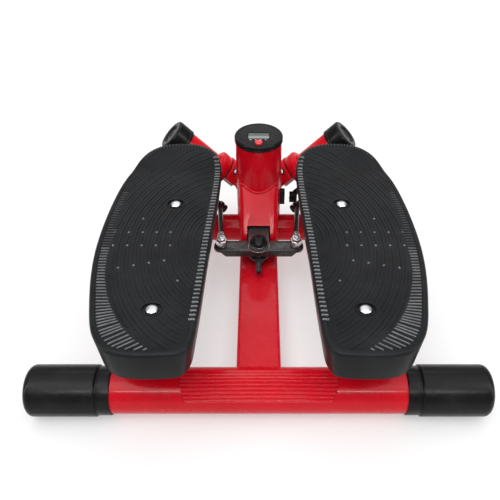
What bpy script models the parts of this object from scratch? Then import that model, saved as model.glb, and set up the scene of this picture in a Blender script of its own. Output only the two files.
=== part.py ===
"""Twist stepper: two pedals on inclined pivots, joined by a rocker so that one rises as the other sinks.

Metres, +Z up, +Y towards the display, +X to the user's right. The origin is under the middle of the
object, on the floor. Each pedal arm turns about a fixed shaft that leans outwards at 45 degrees, so a
pedal moves outwards as it goes down. Moving pieces are parented to an empty on their joint's axis.
"""
import math

import bmesh
import bpy
from mathutils import Matrix, Vector

# --- Driving dimensions ---
GAP = 0.0003                    # clearance between touching pieces
LENGTH = 0.391                  # rear of the pedals to the front of the pivot hubs
REAR_Y = -0.1475                # axis of the rear foot tube
FOOT_Z = 0.0274                 # axis height of both foot tubes
REAR_TUBE_R = 0.025
REAR_CAP_START = 0.158
REAR_CAP_END = 0.250
FOOT_CAP_R = 0.028
FRONT_Y = 0.1315                # axis of the front foot tube
FRONT_TUBE_R = 0.019
FRONT_CAP_START = 0.152
FRONT_CAP_END = 0.195
TUBE_WALL = 0.002
BEAM_WIDTH = 0.050
BEAM_HEIGHT = 0.025
BEAM_TOP = 0.0365
SADDLE_HALF = 0.084
SADDLE_RIBS = 9
COLUMN_Y = 0.1355
COLUMN_R = 0.030
COLUMN_WALL = 0.0025
COLUMN_TOP = 0.1705
DISPLAY_R = 0.0313
DISPLAY_TOP = 0.178
LCD_SIZE = (0.027, 0.015)
LCD_OFFSET = -0.0012            # window centre, from the column axis
BUTTON_OFFSET = -0.0199
BUTTON_R = 0.005
HOUSING_HALF = 0.026
HOUSING_ROUND = 0.006
MOUTH_HALF = 0.0152
PIVOT_Y = LENGTH / 2 - 0.028    # plane of the two inclined pivots
PIVOT_Z = 0.043                 # height where their axes meet
PIVOT_ANGLE = math.radians(45)
STUB_R = 0.028
STUB_START = 0.018              # distances along a pivot axis, from where the two meet
STUB_END = 0.076
LUG_START = 0.0786
LUG_END = 0.0900
LUG_R = 0.027
SLEEVE_R = 0.019
SLEEVE_END = 0.151
SHAFT_R = 0.012
NECK_R = 0.006                  # thin end of the pivot shaft, in the groove of the hub
HUB_OPENING = 0.001             # how far below its axis the hub is cut away
HUB_SLANT = math.radians(26.7)  # lean of that cut about the pivot axis
BUSH_R = 0.015
INNER_BUSH_END = 0.098
OUTER_BUSH = (0.1300, 0.1507)
PIN_R = 0.0055
CAP_R = 0.021
CAP_START = 0.144
ROCKER_Y = 0.0465
ROCKER_TOP = 0.067
ROCKER_HALF = 0.058
STUD_X = 0.048
STUD_Y = ROCKER_Y + 0.0012
BAR_THICK = 0.011
FORK_R = 0.0135
FORK_PLATE = 0.0035
ROD_END_Z = 0.073
LINK_AXIAL = 0.0495             # link eye on the lever: along the pivot axis, outwards and in Y
LINK_OUT = 0.0283
LINK_Y = -0.025
PEDAL_TOP = 0.150
PEDAL_WALL = 0.037
PEDAL_CENTRE = (-0.115, -0.028)
PEDAL_DRAFT = (0.93, 0.995)     # size of the open underside, against the tread
PEDAL_SKIN = 0.0035
PEDAL_SLICES = (-0.172, -0.155, -0.120, -0.088, -0.050, -0.012, 0.012, 0.045, 0.070)
TOE_RISE = 0.013
TOE_START = 0.092
TOE_END = 0.1395
TOE_SLICES = (0.092, 0.098, 0.105, 0.112, 0.119, 0.126, 0.133)
ARM_SIZE = (0.038, 0.024)
ARM_TOP = 0.1455
BOLT_HOLE_R = 0.0043
PEDAL_BOLTS = {"front": (-0.0978, 0.0279), "rear": (-0.1034, -0.1389)}
DAMPER_FOOT = (-0.140, 0.110, 0.052)
DAMPER_HEAD = (-0.084, 0.060, 0.108)

SEGMENTS = 18                   # sides of a small round piece
SMALL = 12                      # sides of studs and bolts
FINE = 28                       # sides of the tubes and caps
SIDES = {"left": -1, "right": 1}
# Left pedal seen from above: corner points of the outline, walked from the toe round the inner side.
PEDAL_OUTLINE = [
    (-0.0945, 0.1405), (-0.0700, 0.1350), (-0.0535, 0.1215), (-0.0477, 0.1050), (-0.0538, -0.0555),
    (-0.0580, -0.1475), (-0.0615, -0.1800), (-0.0690, -0.1915), (-0.0840, -0.1950), (-0.1360, -0.1915),
    (-0.1545, -0.1715), (-0.1670, -0.1275), (-0.1765, -0.0555), (-0.1730, 0.0345), (-0.1630, 0.0885),
    (-0.1480, 0.1195), (-0.1235, 0.1365),
]

COLOURS = {
    "red_paint": ((0.60, 0.006, 0.018), 0.28, 0.0),
    "black_plastic": ((0.018, 0.019, 0.020), 0.45, 0.0),
    "pedal_plastic": ((0.022, 0.023, 0.025), 0.60, 0.0),
    "black_steel": ((0.020, 0.021, 0.024), 0.40, 0.3),
    "zinc_steel": ((0.62, 0.63, 0.65), 0.30, 1.0),
    "shaft_steel": ((0.45, 0.46, 0.48), 0.25, 1.0),
    "bush_nylon": ((0.030, 0.030, 0.032), 0.55, 0.0),
    "lens_grey": ((0.16, 0.19, 0.18), 0.10, 0.0),
    "board_green": ((0.02, 0.14, 0.06), 0.50, 0.0),
    "button_red": ((0.75, 0.010, 0.020), 0.35, 0.0),
    "damper_black": ((0.015, 0.015, 0.016), 0.30, 0.2),
}


# --- Scene helpers ---
for old in list(bpy.data.objects):
    bpy.data.objects.remove(old, do_unlink=True)
parts = bpy.data.collections.new("twist_stepper")
bpy.context.scene.collection.children.link(parts)
cutters = bpy.data.collections.new("cutters")
bpy.context.scene.collection.children.link(cutters)


def material(name):
    """The Principled material of that name, made the first time it is asked for."""
    found = bpy.data.materials.get(name)
    if found:
        return found
    colour, roughness, metallic = COLOURS[name]
    made = bpy.data.materials.new(name)
    made.use_nodes = True
    shader = made.node_tree.nodes["Principled BSDF"]
    shader.inputs["Base Color"].default_value = (*colour, 1)
    shader.inputs["Roughness"].default_value = roughness
    shader.inputs["Metallic"].default_value = metallic
    made.diffuse_color = (*colour, 1)
    return made


def place(name, mesh, surface=None, matrix=None):
    """Make an object from a mesh. With no surface it is a cutter or a piece to be joined."""
    piece = bpy.data.objects.new(name, mesh)
    piece.matrix_world = matrix or Matrix()
    if surface:
        mesh.materials.append(material(surface))
        parts.objects.link(piece)
    else:
        piece.hide_render = True
        piece.display_type = "WIRE"
        cutters.objects.link(piece)
    return piece


def smooth(piece, angle=35):
    piece.data.shade_smooth()
    piece.data.set_sharp_from_angle(angle=math.radians(angle))
    return piece


def shaft_frame(start, direction):
    """Matrix whose +Z runs along direction from start."""
    turn = Vector((0, 0, 1)).rotation_difference(Vector(direction).normalized())
    return Matrix.Translation(start) @ turn.to_matrix().to_4x4()


def box(name, low, high, surface=None, matrix=None, bevel=0.0):
    """A box between two corners, its own scale baked in, with its edges rounded by bevel."""
    mesh = bpy.data.meshes.new(name)
    shape = bmesh.new()
    bmesh.ops.create_cube(shape, size=1)
    size = [b - a for a, b in zip(low, high)]
    centre = [(a + b) / 2 for a, b in zip(low, high)]
    bmesh.ops.scale(shape, vec=size, verts=shape.verts)
    bmesh.ops.translate(shape, vec=centre, verts=shape.verts)
    if bevel:
        bmesh.ops.bevel(shape, geom=shape.edges[:], offset=bevel, segments=2, profile=0.5,
                        affect="EDGES")
    shape.to_mesh(mesh)
    shape.free()
    return place(name, mesh, surface, matrix)


def rod(name, start, end, radius, surface=None, segments=SEGMENTS, matrix=None):
    """A plain round bar between two points, which are local to matrix."""
    mesh = bpy.data.meshes.new(name)
    shape = bmesh.new()
    length = (Vector(end) - Vector(start)).length
    bmesh.ops.create_cone(shape, cap_ends=True, segments=segments, radius1=radius, radius2=radius,
                          depth=length)
    bmesh.ops.translate(shape, vec=(0, 0, length / 2), verts=shape.verts)
    shape.to_mesh(mesh)
    shape.free()
    along = shaft_frame(start, Vector(end) - Vector(start))
    return place(name, mesh, surface, matrix @ along if matrix else along)


def turned(name, profile, surface=None, matrix=None, segments=SEGMENTS, closed=False):
    """A turned piece: (radius, height) points that run down the outer side, spun about local Z."""
    mesh = bpy.data.meshes.new(name)
    edges = [(i, i + 1) for i in range(len(profile) - 1)]
    if closed:
        edges.append((len(profile) - 1, 0))
    mesh.from_pydata([(r, 0, h) for r, h in profile], edges, [])
    piece = place(name, mesh, surface, matrix)
    spin = piece.modifiers.new("Turn", "SCREW")
    spin.steps = segments
    spin.render_steps = segments
    spin.use_merge_vertices = True
    spin.merge_threshold = 0.00001
    return piece


def ring(name, outer, inner, low, high, surface=None, matrix=None, segments=SEGMENTS):
    profile = [(outer, high), (outer, low), (inner, low), (inner, high)]
    return turned(name, profile, surface, matrix, segments, closed=True)


def prism(name, outline, thickness, surface=None, matrix=None):
    """A flat outline, filled and extruded by thickness about its own plane."""
    curve = bpy.data.curves.new(name, "CURVE")
    curve.dimensions = "2D"
    curve.fill_mode = "BOTH"
    curve.extrude = thickness / 2
    spline = curve.splines.new("POLY")
    spline.points.add(len(outline) - 1)
    for point, (x, y) in zip(spline.points, outline):
        point.co = (x, y, 0, 1)
    spline.use_cyclic_u = True
    flat = bpy.data.objects.new(name + "_outline", curve)
    cutters.objects.link(flat)
    bpy.context.view_layer.update()
    view = bpy.context.evaluated_depsgraph_get()
    mesh = bpy.data.meshes.new_from_object(flat.evaluated_get(view))
    shape = bmesh.new()
    shape.from_mesh(mesh)
    bmesh.ops.remove_doubles(shape, verts=shape.verts, dist=0.00001)
    bmesh.ops.recalc_face_normals(shape, faces=shape.faces)
    shape.to_mesh(mesh)
    shape.free()
    mesh.name = name
    mesh.materials.clear()
    bpy.data.objects.remove(flat, do_unlink=True)
    return place(name, mesh, surface, matrix)


def boolean(target, tool, operation):
    change = target.modifiers.new(operation.title(), "BOOLEAN")
    change.operation = operation
    change.solver = "EXACT"
    change.object = tool


def cut(target, *tools):
    for tool in tools:
        boolean(target, tool, "DIFFERENCE")


def join(target, *tools):
    for tool in tools:
        boolean(target, tool, "UNION")


def arc(centre, radius, start, end, steps):
    """Points on a circular arc, angles in degrees."""
    points = []
    for i in range(steps + 1):
        angle = math.radians(start + (end - start) * i / steps)
        points.append((centre[0] + radius * math.cos(angle), centre[1] + radius * math.sin(angle)))
    return points


def axis_frame(side):
    """Frame of a pivot: +Z up along the inclined shaft, X across it, Y as the world's."""
    turn = Matrix.Rotation(side * PIVOT_ANGLE, 4, "Y")
    return Matrix.Translation((0, PIVOT_Y, PIVOT_Z)) @ turn


def joint_axis(name, matrix):
    """An empty on a joint's axis; the pieces that turn or slide together are its children."""
    empty = bpy.data.objects.new(name, None)
    empty.empty_display_size = 0.03
    empty.matrix_world = matrix
    parts.objects.link(empty)
    return empty


def attach(empty, *pieces):
    for piece in pieces:
        piece.parent = empty
        piece.matrix_parent_inverse = empty.matrix_world.inverted()


def mirrored(point, side):
    """A left-hand point, moved to the given side."""
    return Vector((-side * point[0], point[1], point[2]))


ACROSS = Matrix.Rotation(math.pi / 2, 4, "Y")           # turns local Z to world +X
SIDE_PLANE = Matrix(((0, 0, 1, 0), (1, 0, 0, 0), (0, 1, 0, 0), (0, 0, 0, 1)))    # local XY to world YZ
FRONT_PLANE = Matrix(((1, 0, 0, 0), (0, 0, -1, 0), (0, 1, 0, 0), (0, 0, 0, 1)))  # local XY to world XZ


def along_x(y, z, side=1):
    return Matrix.Translation((0, y, z)) @ (ACROSS if side > 0 else ACROSS.inverted())


# Shared cutters
rear_tube_space = rod("rear_tube_space", (-0.3, REAR_Y, FOOT_Z), (0.3, REAR_Y, FOOT_Z),
                      REAR_TUBE_R + GAP, segments=FINE)
front_tube_space = rod("front_tube_space", (-0.3, FRONT_Y, FOOT_Z), (0.3, FRONT_Y, FOOT_Z),
                       FRONT_TUBE_R + GAP, segments=FINE)
column_space = rod("column_space", (0, COLUMN_Y, -0.01), (0, COLUMN_Y, 0.25), COLUMN_R + GAP,
                   segments=FINE)
floor_space = box("floor_space", (-0.4, -0.4, -0.05), (0.4, 0.4, 0.0))


# --- Base frame ---
def foot_tube(name, y, radius, half_length):
    ring(name, radius, radius - TUBE_WALL, -half_length, half_length, "red_paint",
         along_x(y, FOOT_Z), FINE)


def foot_cap(name, y, tube_r, neck_r, start, end, side):
    """Plastic cap over a foot tube, with a narrow neck, a groove and a flat underneath."""
    neck_end = start + 0.0135
    rim = arc((end - 0.006, FOOT_CAP_R - 0.006), 0.006, 0, 90, 3)
    outer = [(0, end)] + [(r, a) for a, r in rim]
    groove = [(FOOT_CAP_R, neck_end + 0.003), (FOOT_CAP_R - 0.001, neck_end + 0.002),
              (neck_r - 0.0006, neck_end + 0.002), (neck_r - 0.0006, neck_end)]
    neck = [(neck_r, neck_end), (neck_r, start)]
    bore = [(tube_r + GAP, start), (tube_r + GAP, end - 0.0105), (0, end - 0.0105)]
    cap = turned(name, outer + groove + neck + bore, "black_plastic", along_x(y, FOOT_Z, side), FINE)
    cut(cap, floor_space)


def ribbed_saddle():
    """Thin ribbed plate over the rear tube, between the pedals; its ribs run across."""
    far, near, steps = 69, 155, 6       # degrees round the tube, from level on its far side
    count = SADDLE_RIBS * steps
    points = []
    for i in range(count + 1):
        turn = math.radians(far + (near - far) * i / count)
        wave = 0.5 - 0.5 * math.cos(2 * math.pi * i / steps)
        radius = REAR_TUBE_R + 0.0009 + 0.0011 * wave
        points.append((radius * math.cos(turn), radius * math.sin(turn)))
    inner = arc((0, 0), REAR_TUBE_R + 2 * GAP, near, far, 16)
    place_at = Matrix.Translation((0, REAR_Y, FOOT_Z)) @ SIDE_PLANE
    prism("ribbed_saddle", points + inner, 2 * SADDLE_HALF, "red_paint", place_at)


def base_beam():
    """Box tube that joins the two foot tubes, fitted to both."""
    half = BEAM_WIDTH / 2
    low = BEAM_TOP - BEAM_HEIGHT
    beam = box("base_beam", (-half, REAR_Y, low), (half, FRONT_Y, BEAM_TOP), "red_paint", bevel=0.003)
    inside = box("beam_inside", (-half + TUBE_WALL, REAR_Y - 0.05, low + TUBE_WALL),
                 (half - TUBE_WALL, FRONT_Y + 0.05, BEAM_TOP - TUBE_WALL))
    cut(beam, inside, rear_tube_space, front_tube_space)


def column_tube():
    """Upright round tube that stands on the beam, notched over the front foot tube."""
    column = ring("column_tube", COLUMN_R, COLUMN_R - COLUMN_WALL, BEAM_TOP + GAP, COLUMN_TOP, "red_paint",
                  Matrix.Translation((0, COLUMN_Y, 0)), FINE)
    cut(column, front_tube_space)


def rocker_housing():
    """Hollow box in front of the column: a steep face, open below as a mouth for the rocker fork."""
    foot = BEAM_TOP + GAP
    slope = [(0.1120, 0.1154), (0.0651, 0.0620)]
    side = slope + [(0.0651, foot), (0.1250, foot), (0.1250, 0.1154)]
    shell = prism("rocker_housing", side, 2 * HOUSING_HALF, "red_paint", SIDE_PLANE)
    rounded = shell.modifiers.new("Round", "BEVEL")
    rounded.width = HOUSING_ROUND
    rounded.segments = 3
    rounded.limit_method = "ANGLE"
    hollow = [(0.1160, 0.1140), (0.0690, 0.0604), (0.0690, 0.030), (0.140, 0.030), (0.140, 0.1140)]
    inside = prism("housing_inside", hollow, 0.040, matrix=SIDE_PLANE)
    mouth = box("housing_mouth", (-MOUTH_HALF, 0.040, 0.030), (MOUTH_HALF, 0.0820, 0.0750))
    cut(shell, inside, mouth, column_space, front_tube_space)


# --- Inclined pivots ---
def pivot_stub(label, side):
    """Fixed hub welded behind the column, cut away below; the shaft's neck lies in its groove."""
    stub = ring("pivot_stub_" + label, STUB_R, NECK_R + GAP, STUB_START, STUB_END,
                "red_paint",
                axis_frame(side), FINE)
    near, far = sorted((side * HUB_OPENING, side * 0.1))
    opening = box("stub_opening_" + label, (near, -0.1, 0.0), (far, 0.1, 0.1),
                  matrix=axis_frame(side) @ Matrix.Rotation(-side * HUB_SLANT, 4, "Z"))
    other_half = box("stub_split_" + label, (0, -0.3, -0.1), (0.2, 0.4, 0.3),
                     matrix=Matrix.Translation((-0.0002, 0, 0)) if side < 0 else
                     Matrix.Translation((-0.1998, 0, 0)))
    cut(stub, column_space, front_tube_space, other_half, opening)


def pivot_shaft(label, side):
    frame = axis_frame(side)
    shoulder = STUB_END + GAP
    profile = [(0, 0.1500), (0.0108, 0.1500), (SHAFT_R, 0.1488), (SHAFT_R, shoulder), (NECK_R, shoulder),
               (NECK_R, 0.0520), (0, 0.0520)]
    turned("pivot_shaft_" + label, profile, "shaft_steel", frame)
    retainer = [(0, 0.1585), (0.0055, 0.1585), (0.0065, 0.1578), (0.0065, 0.1538), (0.0165, 0.1538),
                (0.0165, 0.1513), (0, 0.1513)]
    turned("shaft_retainer_" + label, retainer, "zinc_steel", frame)


def stub_gusset(label, side):
    """Web between column and stub, at the lower front of the stub."""
    corners = [(0.0220, 0.0800), (0.0290, 0.0910), (0.0470, 0.1070), (0.0360, 0.1200), (0.0220, 0.1200)]
    outline = [(side * x, z) for x, z in corners]
    gusset = prism("stub_gusset_" + label, outline, 0.007, "red_paint",
                   Matrix.Translation((0, 0.1385, 0)) @ FRONT_PLANE)
    cut(gusset, column_space)


# --- Display ---
def display():
    """Round head on the column with a window and one button; board and battery are inside."""
    centre = Matrix.Translation((0, COLUMN_Y, 0))
    top = DISPLAY_TOP
    shell = [(0, top), (0.0282, top), (0.0298, top - 0.0006), (DISPLAY_R, top - 0.0028),
             (DISPLAY_R, COLUMN_TOP + GAP), (0.0272, COLUMN_TOP + GAP), (0.0272, 0.1500),
             (0.0262, 0.1500), (0.0262, top - 0.0035), (0, top - 0.0035)]
    head = turned("display_housing", shell, "black_plastic", centre, FINE)
    half_w, half_d = LCD_SIZE[0] / 2, LCD_SIZE[1] / 2
    lcd_y = COLUMN_Y + LCD_OFFSET
    window = box("lcd_opening", (-half_w - GAP, lcd_y - half_d - GAP, top - 0.01),
                 (half_w + GAP, lcd_y + half_d + GAP, top + 0.01))
    button_y = COLUMN_Y + BUTTON_OFFSET
    hole = rod("button_hole", (0, button_y, top - 0.01), (0, button_y, top + 0.01), BUTTON_R + GAP)
    cut(head, window, hole)
    box("display_lens", (-half_w, lcd_y - half_d, top - 0.0032),
        (half_w, lcd_y + half_d, top - 0.0005), "lens_grey")
    board = turned("display_board", [(0, 0.1666), (0.0235, 0.1666), (0.0235, 0.1650), (0, 0.1650)],
                   "board_green", centre)
    switch = rod("switch_post", (0, button_y, 0.1660), (0, button_y, 0.1705), 0.0025)
    join(board, switch)
    turned("display_battery", [(0, 0.1647), (0.0100, 0.1647), (0.0100, 0.1615), (0, 0.1615)],
           "zinc_steel", centre)
    press = [(0, 0.1805), (0.0040, 0.1805), (BUTTON_R, 0.1796), (BUTTON_R, 0.1742), (0.0058, 0.1742),
             (0.0058, 0.1727), (0, 0.1727)]
    at_button = Matrix.Translation((0, button_y, 0))
    button = turned("reset_button", press, "button_red", at_button)
    attach(joint_axis("reset_axis", at_button), button)


# --- Rocker ---
def rocker_outline(half_length, half_depth, corner):
    """Rounded bar outline, walked anticlockwise."""
    points = []
    for quarter, (sx, sy) in enumerate(((1, 1), (-1, 1), (-1, -1), (1, -1))):
        centre = (sx * (half_length - corner), sy * (half_depth - corner))
        points += arc(centre, corner, 90 * quarter, 90 * quarter + 90, 5)
    return points


def rocker():
    """Swinging bar under the fork, the two studs on it and the fork that carries it."""
    pivot = Matrix.Translation((0, ROCKER_Y, 0))
    top = ROCKER_TOP
    bar = prism("rocker_bar", rocker_outline(ROCKER_HALF, 0.0100, 0.0085), BAR_THICK, "black_steel",
                pivot @ Matrix.Translation((0, 0, top - BAR_THICK / 2)))
    channel = box("rocker_channel", (-0.07, -0.0073, top - 0.02), (0.07, 0.0073, top - 0.003),
                  matrix=pivot)
    ends = []
    for side in (-1, 1):
        wedge = [(side * 0.0410, top - 0.012), (side * 0.075, top - 0.012), (side * 0.075, top - 0.0035),
                 (side * 0.0490, top - 0.0035)]
        ends.append(prism("rocker_end_cut", wedge, 0.05,
                          matrix=Matrix.Translation((0, ROCKER_Y, 0)) @ FRONT_PLANE))
    middle = rod("rocker_hole", (0, ROCKER_Y, 0.04), (0, ROCKER_Y, 0.09), 0.0054)
    stud_holes = [rod("stud_hole", (x, STUD_Y, 0.04), (x, STUD_Y, 0.09), 0.0038)
                  for x in (-STUD_X, STUD_X)]
    cut(bar, channel, *ends, middle, *stud_holes)
    stud = [(0, 0.0805), (0.0048, 0.0805), (0.0052, 0.0800), (0.0052, 0.0780), (0.0035, 0.0780),
            (0.0035, 0.0686), (0.0052, 0.0686), (0.0052, 0.0673), (0.0035, 0.0673), (0.0035, 0.0637),
            (0.0055, 0.0637), (0.0055, 0.0585), (0, 0.0585)]
    axis = joint_axis("rocker_axis", pivot)
    attach(axis, bar)
    for label, side in SIDES.items():
        piece = turned("rocker_stud_" + label, stud, "zinc_steel",
                       Matrix.Translation((side * STUD_X, STUD_Y, 0)), SMALL)
        attach(axis, piece)

    upper = arc((0, 0), FORK_R, 180, 360, 14) + [(FORK_R, 0.0450), (-FORK_R, 0.0450)]
    fork = prism("rocker_fork", upper, FORK_PLATE, "black_steel",
                 pivot @ Matrix.Translation((0, 0, 0.0693)))
    right_edge = [(0.0047, -0.0120), (0.0060, -0.0095), (0.0095, -0.0070), (0.0125, -0.0035),
                  (FORK_R, 0.0010), (FORK_R, 0.0180)]
    left_edge = [(-x, y) for x, y in reversed(right_edge)]
    lower = prism("fork_tongue", right_edge + left_edge, FORK_PLATE,
                  matrix=pivot @ Matrix.Translation((0, 0, 0.0495)))
    web = box("fork_web", (-FORK_R, 0.0605, 0.0478), (FORK_R, 0.0640, 0.0705))
    tip = rod("fork_tip", (0, ROCKER_Y - 0.0080, 0.0492), (0, ROCKER_Y - 0.0290, 0.0462), 0.0036,
              segments=SMALL)
    bolt_hole = rod("fork_hole", (0, ROCKER_Y, 0.03), (0, ROCKER_Y, 0.09), 0.0053)
    join(fork, lower, web, tip)
    cut(fork, bolt_hole)
    bolt = [(0, 0.0768), (0.0070, 0.0768), (0.0075, 0.0762), (0.0075, 0.0722), (0.0124, 0.0722),
            (0.0124, 0.0714), (0.0050, 0.0714), (0.0050, 0.0385), (0, 0.0385)]
    turned("rocker_bolt", bolt, "zinc_steel", pivot)
    hexagon = [(0, 0.0474), (0.0082, 0.0474), (0.0082, 0.0415), (0, 0.0415)]
    cut(turned("rocker_nut", hexagon, "black_steel", pivot, 6), bolt_hole)
    dome_out = [(0.0115 * math.cos(a), 0.0725 + 0.0085 * math.sin(a))
                for a in [math.radians(90 - 18 * i) for i in range(6)]]
    dome_in = [(0.0095 * math.cos(a), 0.0725 + 0.0070 * math.sin(a))
               for a in [math.radians(18 * i) for i in range(6)]]
    dome_out[0] = (0, dome_out[0][1])
    dome_in[-1] = (0, dome_in[-1][1])
    turned("rocker_bolt_cap", dome_out + dome_in, "black_plastic", pivot)


def lever_point(side, axial, outward, y):
    """World point given along, outwards from and across a pivot axis."""
    return axis_frame(side) @ Vector((side * outward, y, axial))


def link_rod(label, side):
    """Ball-ended rod from a rocker stud to the lever pin of the pedal arm on that side."""
    start = Vector((side * STUD_X, STUD_Y, ROD_END_Z))
    end = lever_point(side, LINK_AXIAL, LINK_OUT, LINK_Y)
    aim = (end - start).normalized()
    name = "link_rod_" + label
    eye = ring(name, 0.0075, 0.0041, -0.0040, 0.0040, "black_steel", Matrix.Translation(start))
    far_frame = Matrix.Translation(end) @ axis_frame(side).to_3x3().to_4x4()
    far_eye = ring("far_eye_" + label, 0.0072, 0.0045, -0.0025, 0.0025, None, far_frame)
    shank = rod("shank_" + label, start + aim * 0.0060, end - aim * 0.0055, 0.0035, segments=16)
    collar = rod("collar_" + label, start + aim * 0.0125, start + aim * 0.0180, 0.0056, segments=6)
    join(eye, shank, collar, far_eye)
    attach(joint_axis("link_axis_" + label, Matrix.Translation(start)), eye)


# --- Pedal arms ---
def pedal_arm(label, side, left_mesh):
    """Everything that turns on one inclined shaft."""
    frame = axis_frame(side)
    axis = joint_axis("arm_axis_" + label, frame)
    sleeve = ring("pivot_sleeve_" + label, SLEEVE_R, BUSH_R + GAP, LUG_END + GAP, SLEEVE_END,
                  "red_paint", frame)
    lug = ring("lever_lug_" + label, LUG_R, BUSH_R + GAP, LUG_START, LUG_END, "red_paint", frame)
    spoke = math.atan2(LINK_Y, side * LINK_OUT)
    reach = math.hypot(LINK_OUT, LINK_Y)
    spoke_frame = frame @ Matrix.Rotation(spoke, 4, "Z")
    ear = box("ear_" + label, (0.0200, -0.0090, LUG_START), (reach, 0.0090, LUG_END),
              matrix=spoke_frame)
    ear_end = rod("ear_end_" + label, lever_point(side, LUG_START, LINK_OUT, LINK_Y),
                  lever_point(side, LUG_END, LINK_OUT, LINK_Y), 0.0090)
    pin_hole = rod("pin_hole_" + label, lever_point(side, 0.07, LINK_OUT, LINK_Y),
                   lever_point(side, 0.1, LINK_OUT, LINK_Y), PIN_R + GAP)
    join(lug, ear, ear_end)
    cut(lug, pin_hole)
    pin = [(0, 0.0955), (0.0075, 0.0955), (0.0080, 0.0950), (0.0080, LUG_END + GAP),
           (PIN_R, LUG_END + GAP), (PIN_R, 0.0545), (0.0030, 0.0545), (0.0030, 0.0440),
           (0.0062, 0.0440), (0.0062, 0.0400), (0, 0.0400)]
    link_pin = turned("link_pin_" + label, pin, "black_steel",
                      Matrix.Translation(lever_point(side, 0, LINK_OUT, LINK_Y))
                      @ frame.to_3x3().to_4x4())
    flanged = [(0.0240, 0.0783), (0.0240, 0.0763), (SHAFT_R + GAP, 0.0763), (SHAFT_R + GAP, INNER_BUSH_END),
               (BUSH_R, INNER_BUSH_END), (BUSH_R, 0.0783)]
    inner_bush = turned("inner_bush_" + label, flanged, "bush_nylon", frame, closed=True)
    outer_bush = ring("outer_bush_" + label, BUSH_R, SHAFT_R + GAP, *OUTER_BUSH, "bush_nylon", frame)
    cap_face = [(0, 0.1645), (0.0120, 0.1645), (0.0135, 0.1665), (0.0195, 0.1665), (CAP_R, 0.1650),
                (CAP_R, CAP_START), (SLEEVE_R + GAP, CAP_START), (SLEEVE_R + GAP, 0.1615), (0, 0.1615)]
    cap = turned("sleeve_cap_" + label, cap_face, "black_plastic", frame)

    half_w = ARM_SIZE[0] / 2
    arm_low = ARM_TOP - ARM_SIZE[1]
    arm_frame = arm_place(side)
    arm = box("pedal_arm_" + label, (-half_w, -0.1850, arm_low), (half_w, 0.1400, ARM_TOP),
              "red_paint", arm_frame, bevel=0.003)
    sleeve_space = rod("sleeve_space_" + label, frame @ Vector((0, 0, 0.05)),
                       frame @ Vector((0, 0, 0.25)), SLEEVE_R + GAP, segments=FINE)
    cap_space = rod("cap_space_" + label, frame @ Vector((0, 0, CAP_START - 0.0005)),
                    frame @ Vector((0, 0, 0.25)), CAP_R + 2 * GAP, segments=FINE)
    inside = box("arm_inside_" + label, (-half_w + TUBE_WALL, -0.25, arm_low + TUBE_WALL),
                 (half_w - TUBE_WALL, 0.25, ARM_TOP - TUBE_WALL), matrix=arm_frame)
    axis_way = frame.to_3x3() @ Vector((0, 0, 1))
    head = mirrored(DAMPER_HEAD, side)
    post = rod("damper_post_" + label, head - axis_way * 0.0080, head + axis_way * 0.0205, 0.0040)
    post_head = rod("damper_post_head_" + label, head - axis_way * 0.0080, head - axis_way * 0.0055,
                    0.0072)
    cut(arm, inside, sleeve_space, cap_space)
    join(arm, post, post_head)

    pieces = [sleeve, lug, link_pin, inner_bush, outer_bush, cap, arm, pedal(label, side, left_mesh)]
    for end in ("front", "rear"):
        cut(arm, bolt_hole(end, side))
        bolt = [(0, 0.1512)] + [(0.0072 * math.sin(a), 0.1487 + 0.0025 * math.cos(a))
                                for a in [math.radians(30 * i) for i in range(1, 4)]]
        bolt += [(0.0040, 0.1487), (0.0040, 0.1180), (0, 0.1180)]
        pieces.append(turned("pedal_bolt_" + end + "_" + label, bolt, "zinc_steel", bolt_place(end, side),
                             SMALL))
    if side > 0:
        pieces.append(magnet_holder(frame))
    attach(axis, *pieces)


def outline_curve(points, per_span):
    """Closed centripetal Catmull-Rom curve through the points."""
    def blend(a, b, start, end):
        return a.lerp(b, (t - start) / (end - start))

    out = []
    count = len(points)
    for i in range(count):
        p = [Vector(points[(i + k - 1) % count]) for k in range(4)]
        knots = [0.0]
        for a, b in zip(p, p[1:]):
            knots.append(knots[-1] + math.sqrt((b - a).length))
        for step in range(per_span):
            t = knots[1] + (knots[2] - knots[1]) * step / per_span
            sides = [blend(p[j], p[j + 1], knots[j], knots[j + 1]) for j in range(3)]
            pairs = [blend(sides[j], sides[j + 1], knots[j], knots[j + 2]) for j in range(2)]
            out.append(blend(*pairs, knots[1], knots[2]).to_tuple())
    return out


def toe_height(y):
    """How far the tread lifts towards the toe."""
    t = min(max((y - TOE_START) / (TOE_END - TOE_START), 0), 1)
    return TOE_RISE * t * t * (3 - 2 * t)


def arm_place(side):
    """Frame of a pedal arm: origin over the front bolt, +Y along the arm."""
    front, rear = (mirrored((*PEDAL_BOLTS[end], 0), side) for end in ("front", "rear"))
    aim = front - rear
    return Matrix.Translation(front) @ Matrix.Rotation(math.atan2(-aim.x, aim.y), 4, "Z")


def bolt_place(end, side):
    return Matrix.Translation(mirrored((*PEDAL_BOLTS[end], 0), side))


def bolt_hole(end, side):
    return rod("bolt_hole", (0, 0, 0.11), (0, 0, 0.17), BOLT_HOLE_R, segments=24,
               matrix=bolt_place(end, side))


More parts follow.
